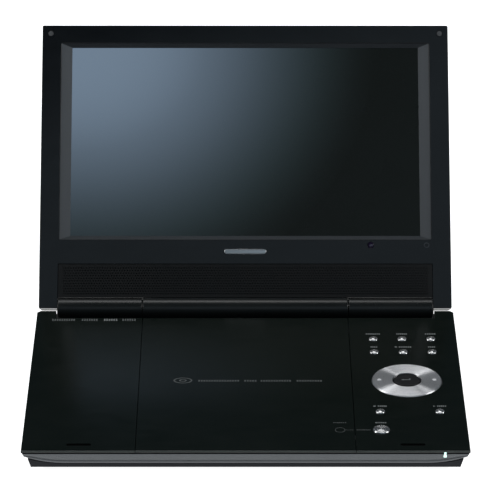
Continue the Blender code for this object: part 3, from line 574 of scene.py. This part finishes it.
def build_display(mats):
    face = box_in(LID, "screen_bezel")[0].z
    rings = [ring_round(WINDOW, -0.06 * MM, face + 0.45 * MM, 0.55 * MM, 4)]
    for grow, depth in ((0.35, 1.85), (0.05, 1.92), (0, 2.0), (0, 2.15), (2, 2.16)):
        rings.append(ring_round(DISPLAY_AREA, grow * MM, face + depth * MM, 0.3 * MM, 4))
    rings.append(ring_round(WINDOW, -0.06 * MM, face + 1.2 * MM, 0.55 * MM, 4))
    surround = loft(rings, closed=True)
    surround = piece("display_surround", surround, mats["surround"], "lid", LID)
    surround.data.materials.append(mats["surround_shade"])
    surround.data.materials.append(mats["surround_low"])
    shade_index, half_shade_index = 1, 2
    middle_y = (WINDOW[2] + WINDOW[3]) / 2
    # painted light and shade: top facets take the painted shade tone, bottom facets the lighter painted shade
    # tone, and the sides keep the lightest
    for facet in surround.data.polygons:
        if abs(facet.normal.y) > abs(facet.normal.x):
            facet.material_index = shade_index if facet.center.y < middle_y else half_shade_index
    low, high = box_in(LID, "lcd_glass")
    display = prism(rounded_rect(low.x, high.x, low.y, high.y, 0.5 * MM), low.z + 0.02 * MM, high.z)
    area_x0, area_x1, area_y0, area_y1 = DISPLAY_AREA
    # the display's colour is a painted reflection, not light from the display
    mat = screen("lit_display", (area_x0, area_y0), (area_x1, area_y1))
    piece("display", display, mat, "lid", LID, ("lcd_glass",))


def build_back_cover(mats):
    low, high = box_in(LID, "lid_back_cover")
    corner, edge, skin = mm(2.4, 2.4, 1.8)
    arm_x = 121 * MM

    def ring(inset, z, share=1.0, radius=corner):
        end = inset * share                 # the top and bottom edges are rounded less than the sides
        return ring_at(rounded_rect(low.x + inset, high.x - inset, low.y + end, high.y - end, radius), z)

    rings = [ring(0.15 * MM, low.z + 0.05 * MM), ring(0.0, low.z + 0.15 * MM)]
    rings += [ring(inset, high.z - drop, 0.45, corner - 0.3 * inset) for inset, drop in rounding(edge, 8)]
    notch = box(-arm_x, arm_x, LID_END, 10 * MM, 0, 30 * MM)
    hollow = box(low.x + skin, high.x - skin, low.y + skin, LID_END - skin, 0, high.z - skin)
    width, top, bottom, radius, line = mm(118, -180, -22, 7, 0.7)
    outside = prism(rounded_rect(-width, width, top, bottom, radius, 8), high.z - 0.35 * MM, 30 * MM)
    inside = rounded_rect(line - width, width - line, top + line, bottom - line, radius - line, 8)
    groove = carved(outside, [prism(inside, 0, 31 * MM)])
    shell = carved(loft(rings), [notch, hollow, groove])
    piece("back_cover", shell, mats["back"], "lid", LID, ("lid_back_cover",), bevel=0.18 * MM)


def build_grille(mats):
    """A perforated strip: staggered round holes, each an eight-sided pit in its own square of the sheet."""
    low, high = box_in(LID, "speaker_grille")
    pitch, hole, depth, border = mm(1.7, 0.52, 0.5, 1.2)
    columns = int((high.x - low.x - 2 * border) / pitch) - 1
    rows = int((high.y - low.y - 2 * border) / pitch)
    half = pitch / 2
    square = [(1, 0), (1, 1), (0, 1), (-1, 1), (-1, 0), (-1, -1), (0, -1), (1, -1)]
    bm = bmesh.new()
    found = {}

    def vert(x, y, z):
        key = (round(x / half * 4), round(y / half * 4), round(z / MM * 100))
        if key not in found:
            found[key] = bm.verts.new((x, y, z))
        return found[key]

    start_x, start_y = -(columns + 0.5) * half, (low.y + high.y) / 2 - rows * half
    for row in range(rows):
        for column in range(columns):
            x = start_x + half + column * pitch + (half if row % 2 else 0)
            y = start_y + half + row * pitch
            outer = [vert(x + half * a, y + half * b, low.z) for a, b in square]
            outline = circle(hole, 8, x, y)
            rim = [bm.verts.new(p) for p in ring_at(outline, low.z)]
            pit = [bm.verts.new(p) for p in ring_at(outline, low.z + depth)]
            for i in range(8):
                j = (i + 1) % 8
                bm.faces.new((outer[i], outer[j], rim[j], rim[i]))
                bm.faces.new((rim[i], rim[j], pit[j], pit[i]))
            bm.faces.new(pit)
    bmesh.ops.recalc_face_normals(bm, faces=bm.faces)
    for face in bm.faces:
        if face.calc_center_median().z < low.z + 0.1 * depth and face.normal.z > 0:
            bmesh.ops.reverse_faces(bm, faces=bm.faces)
            break
    piece("grille_mesh", bm, mats["grille"], "lid", LID)
    end_x, end_y, margin = -start_x - half, start_y + rows * pitch, 0.05 * MM
    recess = box(-end_x, end_x, start_y + margin, end_y - margin, low.z - MM, low.z + 0.6 * MM)
    rim = prism(rounded_rect(low.x, high.x, low.y, high.y, 0.5 * MM), low.z - 0.02 * MM, high.z)
    rim = carved(rim, [recess])
    nodes = ("speaker_grille",)
    piece("grille_frame", rim, mats["grille"], "lid", LID, nodes, bevel=0.15 * MM)


def build_lid_trim(mats):
    face = box_in(LID, "screen_bezel")[0].z
    badge_y = -39.5 * MM
    rings = []
    for length, width, proud in ((13.5, 1.6, -0.2), (13.5, 1.6, 0.22), (13.3, 1.4, 0.34), (12.9, 1.0, 0.38)):
        x, y = length * MM, width * MM
        rings.append(ring_at(rounded_rect(-x, x, badge_y - y, badge_y + y, y, 8), face - proud * MM))
    piece("badge", loft(rings), mats["badge"], "lid", LID)
    for name in ("lid_bumper_left", "lid_bumper_right"):
        middle, r = middle_and_radius(LID, name)
        foot, crown = face - 0.1 * MM, 0.5 * MM
        dome = [(r, box_in(LID, name)[1].z), (r, foot)]
        for i in range(1, 6):
            a = math.pi / 2 * i / 6
            dome.append((r * math.cos(a), foot - crown * math.sin(a)))
        body = shifted(turned(dome, 32), middle.x, middle.y)
        piece(name.replace("lid_bumper", "bumper"), body, mats["bumper"], "lid", LID, (name,))
    low, high = box_in(LID, "remote_sensor_window")
    middle, r = middle_and_radius(LID, "remote_sensor_window")
    profile = [(r, high.z), (r, low.z + 0.2 * MM), (r - 0.25 * MM, low.z), (0.4 * MM, low.z - 0.1 * MM)]
    window = shifted(turned(profile, 40), middle.x, middle.y)
    piece("sensor_window", window, mats["lens"], "lid", LID, ("remote_sensor_window",))
    profile = [(1.8 * MM, 0.05 * MM), (1.8 * MM, -PRINT_T), (1.2 * MM, -PRINT_T), (1.2 * MM, 0.05 * MM)]
    ring = shifted(turned(profile, 40, hollow=True), 117.3 * MM, -43.8 * MM, face)
    piece("sensor_ring", ring, mats["surround_low"], "lid", LID)


def rounded_tube(x0, x1, radius):
    """A cylinder along x with rounded ends, about the hinge line."""
    ends = rounding(0.5 * MM, 4)
    left = [(radius - drop, x0 + inset) for inset, drop in ends]
    right = [(radius - inset, x1 - drop) for inset, drop in ends]
    return along_x(turned(left + right, FINE))


def build_hinge(mats):
    for name in ("hinge_barrel_left", "hinge_barrel_right"):
        low, high = box_in(BASE, name)
        side, outer = (1, high.x) if high.x > 0 else (-1, low.x)
        tube = shifted(rounded_tube(low.x, high.x, high.z - HINGE.z), z=HINGE.z)
        foot = box(low.x + 2 * MM, high.x - 2 * MM, -4 * MM, 4 * MM, low.z, HINGE.z - 3 * MM)
        dimple = along_x(turned([(4.4 * MM, outer - 0.4 * MM), (4.4 * MM, outer + 0.5 * MM)], 48))
        body = carved(carved(tube, [foot], "UNION"), [shifted(dimple, z=HINGE.z)])
        short = name.replace("hinge_", "")
        piece(short, body, mats["barrel"], "base", BASE, (name,), bevel=0.12 * MM)
        steps = ((3.9, 0.35), (3.9, 0.1), (3.4, 0.0))
        cap = along_x(turned([(r * MM, outer - side * back * MM) for r, back in steps], 48))
        cap_name = short.replace("barrel", "barrel_cap")
        piece(cap_name, shifted(cap, z=HINGE.z), mats["dark"], "base")
    low, high = box_in(LID, "hinge_centre_cover")
    radius = -low.z
    start, end = (corner.x for corner in box_in(BASE, "hinge_barrel_right"))
    for side, label in ((-1, "left"), (1, "right")):
        gaps = ((high.x + 0.05 * MM, start + 0.1 * MM), (end - 0.1 * MM, end + 0.3 * MM))
        washers = [along_x(turned([(radius - 0.45 * MM, side * x) for x in gap], 64)) for gap in gaps]
        # near-black washers in the gaps beside the barrels: partly real washers, partly painted shade in
        # those gaps
        piece(f"washers_{label}", shifted(joined(washers), z=HINGE.z), mats["pit"], "base")
        x0, x1 = sorted((side * (end + 0.08 * MM), side * (end + 0.45 * MM)))
        filler = box(x0, x1, -17 * MM, -9.5 * MM, 9.5 * MM, 19 * MM)
        piece(f"corner_rib_{label}", filler, mats["dark"], "base")
    neck_x = high.x - 0.5 * MM
    face = box_in(LID, "screen_bezel")[0].z
    neck = box(-neck_x, neck_x, LID_END + 0.3 * MM, 0, face, face + 3.4 * MM)
    tongue = box(*mm(-60, 60, -22, -3), face + 2.1 * MM, face + 3.4 * MM)
    cover = carved(rounded_tube(low.x, high.x, radius), [neck, tongue], "UNION")
    piece("centre_cover", cover, mats["barrel"], "lid", LID, ("hinge_centre_cover",),
          bevel=0.15 * MM)
    for name in ("hinge_shaft_left", "hinge_shaft_right"):
        keep_node(name, mats["steel"], 0)


# ---------------------------------------------------------------- base

def middle_of(name):
    low, high = box_in(BASE, name)
    return (low + high) / 2


def key_names():
    return sorted(name for name in frame["nodes"] if name.startswith("key_") and name != "key_mat")


def panel_holes():
    """Every hole in the control panel: (x, y, radius)."""
    holes = [(middle_of(key), 3.35 * MM) for key in key_names()]
    holes.append((middle_of("nav_ring"), 21.9 * MM))
    holes.append((middle_of("open_button"), 5.45 * MM))
    return [(spot.x, spot.y, radius) for spot, radius in holes]


def slot_outline(x, y, length, width, steps=8):
    run, r = (length - width) / 2, width / 2
    return arc(x + run, y, r, -90, 90, steps) + arc(x - run, y, r, 90, 270, steps)


def leaf_steps(low, high):
    """(inset, z) up a top plate's front edge: standing back below, then overhanging with a rounded top."""
    steps = [(REBATE, low), (REBATE, high - LEAF_T), (0, high - LEAF_T)]
    return steps + [(inset, high - drop) for inset, drop in rounding(LEAF_ROUND, 6)]


def paint_edge_highlight(obj, mat, front):
    """Gives the rounded front edge of a top plate a lighter satin finish, a painted highlight along that
    edge.
    """
    obj.data.materials.append(mat)
    for face in obj.data.polygons:
        if face.normal.y < -0.12 and face.normal.z > 0.02 and face.center.y < front + LEAF_ROUND:
            face.material_index = 1


def build_panels(mats):
    chamfer = 2.2 * MM
    tab_x, shelf_y = mm(120.9, -17.3)
    play = 0.3 * MM                         # the pads are this much smaller than their pockets
    for side, name, pad_name in ((-1, "left_top_panel", "rest_pad_left"),
                                 (1, "right_control_panel", "rest_pad_right")):
        low, high = box_in(BASE, name)
        inner, outer = sorted((abs(low.x), abs(high.x)))
        rings = []
        for inset, z in leaf_steps(low.z, high.z):
            outline = [(inner, low.y + inset), (outer, low.y + inset), (outer, high.y - chamfer),
                       (outer - chamfer, high.y), (tab_x, high.y), (tab_x, shelf_y), (inner, shelf_y)]
            rings.append(ring_at([(side * x, y) for x, y in outline], z))
        cutters = [prism(slot_outline(side * PAD_X, PAD_Y, *PAD), high.z - 1.0 * MM, high.z + MM)]
        if side > 0:
            for x, y, radius in panel_holes():
                cutters.append(shifted(turned([(radius, low.z - MM), (radius, high.z + MM)], 64), x, y))
            lens_low, lens_high = box_in(BASE, "power_led_lens")
            gap = 0.15 * MM
            cutters.append(box(lens_low.x - gap, lens_high.x + gap, low.y - MM, lens_high.y + 0.3 * MM, 0,
                               lens_high.z + gap))
        body = carved(loft(rings), cutters)
        panel = piece(name.replace("_top", ""), body, mats["top"], "base", BASE, (name,),
                      bevel=0.2 * MM)
        # painted highlight along the plate's front edge
        paint_edge_highlight(panel, mats["plate_edge"], low.y)
        rings = []
        for inset, depth in ((0, 0.95), (0, 0.55), (0.3, 0.4), (0.7, 0.38)):
            shrink = play + 2 * inset * MM
            outline = slot_outline(side * PAD_X, PAD_Y, PAD[0] - shrink, PAD[1] - shrink)
            rings.append(ring_at(outline, high.z - depth * MM))
        # the pads are near-black: partly their own dark rubber, partly painted shade in their pockets
        piece(pad_name, loft(rings), mats["pit"], "base")


def build_edge_gap(mats):
    """Painted shade: near-black strips standing in the gap under the top plates' overhanging front edge."""
    low, high = box_in(BASE, "left_top_panel")[0], box_in(BASE, "right_control_panel")[1]
    lens_low, lens_high = box_in(BASE, "power_led_lens")
    front = low.y + REBATE - 0.15 * MM
    # painted shade: near-black strips set in the gap so that it reads black
    shade_strips = [box(x0, x1, front, front + 0.1 * MM, low.z - 0.1 * MM, high.z - LEAF_T - 0.03 * MM)
              for x0, x1 in ((low.x + 0.1 * MM, lens_low.x), (lens_high.x, high.x - 0.1 * MM))]
    piece("edge_gap", joined(shade_strips), mats["pit"], "base")


def build_door(mats):
    low, high = box_in(BASE, "disc_door")
    disc = middle_of("spindle_hub")
    hinge = Vector(JOINTS["disc_door_hinge"]["pos_m"]) - Vector((0, HINGE.y, 0))
    under = high.z - 1.6 * MM
    into = under + 0.5 * MM                 # the parts below reach this far into the leaf
    rings = []
    for inset, z in leaf_steps(under, high.z):
        rings.append(ring_at(rectangle(low.x, high.x, low.y + inset, high.y), z))
    parts = []
    for side in (-1, 1):
        x0, x1 = sorted((side * 58.6 * MM, side * 61.4 * MM))
        parts.append(box(x0, x1, hinge.y - 2.6 * MM, hinge.y + 2.6 * MM, hinge.z - 2.4 * MM, into))
        x0, x1 = sorted((side * 60 * MM, side * 64.4 * MM))
        pin = along_x(turned([(1.5 * MM, x0), (1.5 * MM, x1)], 24))
        parts.append(shifted(pin, y=hinge.y, z=hinge.z))
    hook_y = -168 * MM
    parts.append(box(61 * MM, 62.6 * MM, hook_y, hook_y + 6 * MM, low.z, into))
    parts.append(box(61.5 * MM, 63.8 * MM, hook_y, hook_y + 6 * MM, low.z, low.z + 1.3 * MM))
    rib_low = under - 0.9 * MM
    rib = turned([(58.5 * MM, rib_low), (58.5 * MM, under + 0.4 * MM)], FINE)
    core = turned([(57.3 * MM, rib_low - MM), (57.3 * MM, under + MM)], FINE)
    parts.append(carved(shifted(rib, y=disc.y), [shifted(core, y=disc.y)]))
    door = piece("door", carved(loft(rings), parts, "UNION"), mats["top"], "disc_door", BASE,
                 ("disc_door",), bevel=0.2 * MM)
    # painted highlight along the door's front edge
    paint_edge_highlight(door, mats["plate_edge"], low.y)
    steps = ((14, 0.05), (14, -0.35), (13.4, -0.5), (10.6, -0.5), (10, -0.3), (10, 0.05))
    clamp = turned(in_mm(steps, 0, under), FINE, hollow=True)
    piece("disc_hold_down", shifted(clamp, y=disc.y), mats["dark"], "disc_door")


def front_face(z):
    """Where the hull's leaning front face lies at height z."""
    lean = 2.5 / 7.8
    return -188.4 * MM - lean * (z - 10.2 * MM)


def trim_profile(bottom, top):
    """(y, z) round the trim's section: a rounded lip along the bottom, a groove, then a crowned face."""
    small = min(1.0, (top - bottom) / (5 * MM))
    lip = ((0.0, -0.2), (0.2, 0.15), (0.6, 0.3), (1.2, 0.32), (1.6, 0.24),
           (1.85, 0.05), (2.1, -0.16), (2.35, -0.2), (2.6, -0.1), (2.8, 0.0))
    points = [(front_face(bottom) + 1.4 * MM, bottom)]
    for up, out in lip:
        z = bottom + small * up * MM
        points.append((front_face(z) - small * out * MM, z))
    start = points[-1][1]
    for share, out in ((0.25, 0.06), (0.55, 0.1), (0.85, 0.04), (0.96, -0.12), (1.0, -0.4)):
        z = start + (top - start) * share
        points.append((front_face(z) - small * out * MM, z))
    points.append((front_face(top) + 1.4 * MM, top))
    return points


def build_front(mats):
    """The trim, whose lower edge is level in the middle and rises at each end, and the power lamp in it."""
    low, high = box_in(BASE, "front_trim")
    shares = [i / 20 for i in range(21)]
    rings = []
    for side, share in [(-1, s) for s in reversed(shares)] + [(1, s) for s in shares]:
        bottom = low.z + TRIM_RISE * share ** 2.3
        low_x = TRIM_TURN + (TRIM_END_LOW - TRIM_TURN) * share
        high_x = TRIM_TURN + (TRIM_END_TOP - TRIM_TURN) * share
        rings.append([(side * (low_x + (high_x - low_x) * (z - bottom) / (high.z - bottom)), y, z)
                      for y, z in trim_profile(bottom, high.z)])
    lens_low, lens_high = box_in(BASE, "power_led_lens")
    gap = 0.15 * MM
    slot = box(lens_low.x - gap, lens_high.x + gap, low.y - 5 * MM, low.y + 6 * MM, lens_low.z - gap, 30 * MM)
    body = carved(loft(rings), [slot])
    piece("trim", body, mats["trim"], "base", BASE, ("front_trim",), sharp=40)

    middle = (lens_low.x + lens_high.x) / 2
    rings = []
    for z, width in ((15.2, 1.75), (15.35, 1.85), (16.4, 1.8), (17.1, 1.15),
                     (17.6, 1.1), (18.1, 1.35), (19.05, 1.4), (19.2, 1.25)):
        half, front = width / 2 * MM, front_face(z * MM) - 0.2 * MM
        outline = rounded_rect(middle - half, middle + half, front, lens_high.y, 0.3 * MM, 3)
        rings.append(ring_at(outline, z * MM))
    piece("lamp", loft(rings), mats["lamp"], "base", BASE, ("power_led_lens",))


def build_bottom(mats):
    keep_node("bottom_shell", mats["hull"], 0.45 * MM, 3)
    keep_node("battery_pack", mats["hull"], 0.4 * MM)
    keep_node("battery_latch", mats["dark"], 0.15 * MM)
    for name in frame["nodes"]:
        if name.startswith("rubber_foot"):
            middle, r = middle_and_radius(BASE, name)
            profile = [(r, box_in(BASE, name)[1].z), (r, 0.9 * MM)]
            profile += [(r - inset, drop) for inset, drop in rounding(0.9 * MM, 5, 1)]
            foot = shifted(turned(profile, 48), middle.x, middle.y)
            piece(name.replace("rubber_", ""), foot, mats["rubber"], "base", BASE, (name,))
        if name.startswith("case_screw"):
            keep_node(name, mats["steel"], 0.12 * MM)


# ---------------------------------------------------------------- controls

def dished(radius, skirt, height, edge, sag, steps=6):
    """(radius, z) points of a key: straight skirt, rounded rim, and a top that sinks by sag to its middle."""
    points = [(radius, skirt), (radius, height - edge)]
    points += [(radius - inset, height - drop) for inset, drop in rounding(edge, 6, 1)]
    rim = radius - edge
    for i in range(1, steps):
        share = i / steps
        points.append((rim * (1 - share), height - sag * math.sin(math.pi / 2 * share) ** 2))
    return points


def on_panel(name, top):
    """The frame at a control's middle on the panel's top face."""
    middle = middle_of(name)
    return BASE @ Matrix.Translation((middle.x, middle.y, top))


def build_keys(mats):
    top = box_in(BASE, "right_control_panel")[1].z
    for name in key_names():
        foot = box_in(BASE, name)[0].z - top
        flange_top = foot + 1.1 * MM
        profile = [(3.9 * MM, foot), (3.9 * MM, flange_top)]
        profile += dished(3.0 * MM, flange_top, 0.55 * MM, 0.7 * MM, -0.3 * MM)
        piece(name.replace("key_", "button_"), turned(profile, 48), mats["chrome"], name,
              on_panel(name, top), (name,))
    build_ring(mats, top)

    cap = dished(8.0 * MM, box_in(BASE, "enter_key")[0].z - top, 0.5 * MM, 0.4 * MM, 0.15 * MM, 8)
    place = on_panel("nav_ring", top)
    piece("enter", turned(cap, 72), mats["enter"], "enter_key", place, ("enter_key",))
    flat, proud = mm(0.3, 0.46)
    arrow = joined([box(*mm(-2.2, 2.2, -0.35, 0.35), flat, proud),
                    box(*mm(1.6, 2.2, 0.35, 1.8), flat, proud),
                    prism([(-3.4 * MM, 0), (-2.0 * MM, -1.0 * MM), (-2.0 * MM, 1.0 * MM)], flat, proud)])
    piece("enter_arrow", arrow, mats["white"], "enter_key", place)

    foot = box_in(BASE, "open_button")[0].z - top
    skirt = -3.8 * MM
    stem = [(1.2 * MM, foot), (1.2 * MM, -5 * MM), (6 * MM, -5 * MM), (6 * MM, skirt)]
    crown = dished(5.2 * MM, skirt, 0.75 * MM, 0.8 * MM, -0.3 * MM, 8)
    piece("eject_button", turned(stem + crown, 64), mats["chrome"], "open_button",
          on_panel("open_button", top), ("open_button",))


def build_ring(mats, top):
    """The four-way ring, the dots that mark its sides, and the collar it rocks on."""
    foot = box_in(BASE, "nav_ring")[0].z - top
    place = on_panel("nav_ring", top)
    inner, outer, rise = mm(9.4, 21.4, 0.3)
    flange_top = foot + 0.8 * MM
    profile = [(inner, foot), (23.4 * MM, foot), (23.4 * MM, flange_top), (outer, flange_top)]
    profile += in_mm(((0, -0.5), (-0.15, -0.33), (-0.75, -0.02), (-0.95, 0)), outer, rise)
    for i in range(1, 12):
        share = i / 12
        radius = outer - 0.95 * MM - (outer - inner - 1.55 * MM) * share
        profile.append((radius, rise + 0.3 * MM * math.sin(math.pi * 0.62 * share)))
    lip = ((0.4, 0.22), (0.1, 0.12), (0, -0.05), (0, -0.35), (0.45, -0.5))
    profile += in_mm(lip, inner - 0.45 * MM, rise)
    body = turned(profile, 128, hollow=True)
    piece("ring", body, mats["ring"], "nav_ring", place, ("nav_ring",))
    for side, name in ((-1, "ring_dot_left"), (1, "ring_dot_right")):
        dot = turned(in_mm(((1.25, -0.1), (1.25, 0.3), (1.15, 0.33)), 0, rise), 32)
        dot = shifted(dot, side * 16.9 * MM)
        piece(name, dot, mats["dot"], "nav_ring", place)
    steps = ((8.25, -3), (9.0, -3), (9.0, -1.3), (8.9, -1.2), (8.35, -1.2), (8.25, -1.3))
    collar = turned(in_mm(steps), FINE, hollow=True)
    piece("collar", collar, mats["dark"], "nav_collar", place, ("nav_collar",))


def build_side(mats):
    for name, bevel in (("av_jacks", 0), ("dc_jack", 0), ("power_switch", 0.15), ("volume_wheel", 0.15)):
        keep_node(name, mats["dark"], bevel * MM)
    face = box_in(BASE, "av_jacks")[1].x
    steps = ((1.8, -6), (2.9, -6), (2.9, 0.15), (2.75, 0.3), (1.95, 0.3), (1.8, 0.1))
    for y, name, finish in zip(SOCKET_Y, ("socket_ring_1", "socket_ring_2", "socket_ring_3"),
                               ("copper", "steel", "steel")):
        tube = along_x(turned(in_mm(steps, 0, face), 48, hollow=True))
        piece(name, shifted(tube, y=y, z=SOCKET_Z), mats[finish], "base")


# ---------------------------------------------------------------- printed marks

def flat_mark(name, shapes, mat, body, place):
    """Printed outlines, each a thin raised prism on the surface that place's z = 0 lies in."""
    solids = [prism(shape, 0, PRINT_T) for shape in shapes]
    piece(name, joined(solids), mat, body, place)


def hoop(radius, width):
    profile = [(radius, 0), (radius, PRINT_T), (radius - width, PRINT_T), (radius - width, 0)]
    return turned(profile, 48, hollow=True)


def bar(x, y, length, height):
    radius = 0.3 * min(length, height)
    return rounded_rect(x - length / 2, x + length / 2, y - height / 2, y + height / 2, radius, 2)


def row_of_bars(count, x, y, length, height):
    """A row of short bars centred on x, in place of a small printed word."""
    return [bar(x + (i - (count - 1) / 2) * BEAD, y, length, height) for i in range(count)]


def build_prints(mats):
    top = box_in(BASE, "right_control_panel")[1].z
    place = BASE @ Matrix.Translation((0, 0, top))
    build_key_marks(mats, place)
    build_door_marks(mats, place)

    rows = ((-122.5, 10, "faint"), (-103.6, 7, "faint"), (-89.5, 6, "white"), (-77.8, 6, "faint"))
    for number, (start, count, ink) in enumerate(rows, 1):
        strokes = [bar((start + 1.5 * i) * MM, -20.0 * MM, 0.95 * MM, 3.0 * MM) for i in range(count)]
        flat_mark(f"corner_marks_{number}", strokes, mats[ink], "base", place)


def build_key_marks(mats, place):
    """A row of bars behind each key, with a plain square, triangle or dot beside three of them."""
    widths = {"key_upper_1": 10.4, "key_upper_2": 8.0, "key_upper_3": 8.0, "key_lower_1": 5.6,
              "key_lower_2": 8.6, "key_lower_3": 5.6, "key_stop": 6.6, "key_play": 6.0}
    half = 0.7 * MM
    shapes = []
    for name, width in widths.items():
        spot = middle_of(name)
        x, y = spot.x, spot.y + 6.9 * MM
        if name in ("key_stop", "key_play", "key_lower_2"):
            x += 1.4 * MM
        shapes += row_of_bars(int(width / 1.2), x, y, 0.8 * MM, 1.7 * MM)
        left = x - width / 2 * MM - 1.4 * MM
        if name == "key_stop":
            shapes.append(rectangle(left - half, left + half, y - half, y + half))
        if name == "key_play":
            shapes.append([(left - half, y - 0.8 * MM), (left + 0.8 * MM, y), (left - half, y + 0.8 * MM)])
        if name == "key_lower_2":
            shapes.append(circle(0.8 * MM, 16, left, y))
    eject = middle_of("open_button")
    shapes += row_of_bars(6, eject.x, eject.y + 9 * MM, 0.8 * MM, 1.5 * MM)
    flat_mark("key_marks", shapes, mats["white"], "base", place)


def build_door_marks(mats, place):
    """The line from the eject button to a small loop on the door, and the door's disc pictogram and bars."""
    eject = middle_of("open_button")
    thin = 0.28 * MM
    start, end = 66.3 * MM, eject.x - 6.4 * MM
    line = bar((start + end) / 2, eject.y, end - start, thin)
    flat_mark("eject_line_panel", [line], mats["white"], "base", place)
    loop_x, loop_r, door_end = mm(56.5, 3.0, 64.7)
    start = loop_x + loop_r
    shapes = [bar((start + door_end) / 2, eject.y, door_end - start, thin)]
    shapes += row_of_bars(7, loop_x, eject.y + 9 * MM, 0.72 * MM, 0.9 * MM)
    solids = [shifted(hoop(loop_r, thin), loop_x, eject.y), *(prism(shape, 0, PRINT_T) for shape in shapes)]
    piece("eject_line_door", joined(solids), mats["faint"], "disc_door", place)

    icon_x, icon_y = mm(-38.5, -102.2)
    marks = []
    for radius in mm(5.8, 2.4):
        ellipse = hoop(radius, 0.9 * MM)
        bmesh.ops.scale(ellipse, vec=(1, 0.62, 1), verts=ellipse.verts)
        marks.append(shifted(ellipse, icon_x, icon_y))
    for start, count in ((-28.5, 16), (-0.2, 5), (9.8, 12), (32.0, 10)):
        for i in range(count):
            stroke = bar((start + 1.6 * i) * MM, icon_y - 0.4 * MM, 0.95 * MM, 2.2 * MM)
            marks.append(prism(stroke, 0, PRINT_T))
    piece("door_marks", joined(marks), mats["faint"], "disc_door", place)


# ---------------------------------------------------------------- disc drive

def build_drive(mats):
    for name, finish, bevel in (
            ("disc_deck", "deck", 0.25), ("drive_chassis", "steel", 0.15), ("spindle_motor", "steel", 0.2),
            ("sled_motor", "steel", 0.2), ("guide_rod", "steel", 0), ("lead_screw", "steel", 0),
            ("optical_pickup", "dark", 0.15), ("door_latch", "steel", 0.1), ("lid_circuit_board", "board", 0),
            ("main_circuit_board", "board", 0), ("control_circuit_board", "board", 0),
            ("key_mat", "rubber", 0), ("backlight_unit", "dark", 0), ("speaker_left", "dark", 0),
            ("speaker_right", "dark", 0)):
        keep_node(name, mats[finish], bevel * MM)
    low, high = box_in(BASE, "spindle_hub")
    disc, r = middle_and_radius(BASE, "spindle_hub")
    z = high.z - 2.1 * MM
    step = z - 1.3 * MM
    profile = [(1.5 * MM, low.z), (1.5 * MM, step), (r, step), (r, z - 0.3 * MM), (r - 0.2 * MM, z)]
    profile += in_mm(((7.6, 0.15), (7.45, 0.3), (7.4, 1.2), (7.1, 1.6), (6.3, 2.02), (5.6, 2.1), (3.2, 2.1),
                      (3.0, 1.7)), 0, z)
    place = BASE @ Matrix.Translation((disc.x, disc.y, 0))
    piece("hub", turned(profile, FINE), mats["dark"], "spindle_hub", place, ("spindle_hub",))
    balls = []
    for x, y in circle(6.95 * MM, 3):
        ball = bmesh.new()
        bmesh.ops.create_uvsphere(ball, u_segments=24, v_segments=16, radius=0.8 * MM)
        balls.append(shifted(ball, x, y, z + 0.95 * MM))
    piece("hub_balls", joined(balls), mats["chrome"], "spindle_hub", place)
    steps = ((1.9, 0), (1.9, 0.18), (1.6, 0.42), (1.1, 0.58), (0.5, 0.66))
    lens = turned(in_mm(steps), 40)
    pickup_top = box_in(BASE, "optical_pickup")[1].z
    place = BASE @ Matrix.Translation((0, disc.y - 23 * MM, pickup_top - 0.02 * MM))
    piece("pickup_lens", lens, mats["lens"], "optical_pickup", place)


# ---------------------------------------------------------------- stage

def add_area(name, position, size, power, color=(1, 1, 1)):
    """A rectangular light aimed at the object."""
    data = bpy.data.lights.new(name, "AREA")
    data.shape = "RECTANGLE"
    data.size, data.size_y = size
    data.energy = power
    data.color = color
    light = bpy.data.objects.new(name, data)
    bpy.context.scene.collection.objects.link(light)
    light.location = position
    light.rotation_euler = (TARGET - Vector(position)).to_track_quat("-Z", "Y").to_euler()


def build_stage():
    floor = plain_object("floor", box(-4, 4, -4, 4, -0.02, -0.0002))
    m = Nodes("pale_floor")
    m.tones(m.noise(3, 3), (0.86, 0.86, 0.86), (0.90, 0.90, 0.90))
    m.roughness(m.noise(30, 3), 0.6, 0.7)
    m.set(Emission_Color=(1, 1, 1, 1), Emission_Strength=0.98)
    floor.data.materials.append(m.material)

    add_area("rear_softbox", (-0.22, 1.05, 1.65), (1.5, 0.65), 7.8)
    add_area("front_card", (0.6, -1.3, 1.75), (2.2, 1.0), 3.1, (0.72, 0.88, 1.0))
    add_area("left_card", (-1.45, 0.0, 1.1), (0.7, 0.6), 11)
    add_area("right_card", (1.45, 0.0, 1.1), (0.7, 0.6), 11)
    build_backdrop()
    build_camera()


def build_backdrop():
    """White where the camera sees it, dim blue-grey where the gloss mirrors it."""
    world = bpy.data.worlds.new("studio")
    bpy.context.scene.world = world
    world.use_nodes = True
    tree = world.node_tree
    background = tree.nodes["Background"]
    path = tree.nodes.new("ShaderNodeLightPath")
    mix = tree.nodes.new("ShaderNodeMix")
    mix.data_type = "RGBA"
    mix.inputs["A"].default_value = (0.02, 0.028, 0.036, 1)
    mix.inputs["B"].default_value = (1, 1, 1, 1)
    tree.links.new(path.outputs["Is Camera Ray"], mix.inputs["Factor"])
    tree.links.new(mix.outputs["Result"], background.inputs["Color"])


def build_camera():
    data = bpy.data.cameras.new("camera")
    data.lens = LENS
    data.sensor_width = 36
    data.clip_end = 20
    camera = bpy.data.objects.new("camera", data)
    bpy.context.scene.collection.objects.link(camera)
    back, up = math.cos(VIEW_HEIGHT) * VIEW_DISTANCE, math.sin(VIEW_HEIGHT) * VIEW_DISTANCE
    offset = Vector((VIEW_SIDE, -back, up))
    camera.location = TARGET + offset
    level = (-offset).to_track_quat("-Z", "Y")
    camera.rotation_euler = (level @ Quaternion((0, 0, 1), VIEW_ROLL)).to_euler()
    bpy.context.scene.camera = camera
    bpy.context.scene.view_settings.view_transform = "Standard"


def main():
    mats = make_materials()
    for build in (build_bezel, build_display, build_back_cover, build_grille, build_lid_trim, build_hinge,
                  build_panels, build_door, build_edge_gap, build_front, build_bottom, build_keys, build_side,
                  build_prints, build_drive):
        build(mats)
    build_stage()


main()
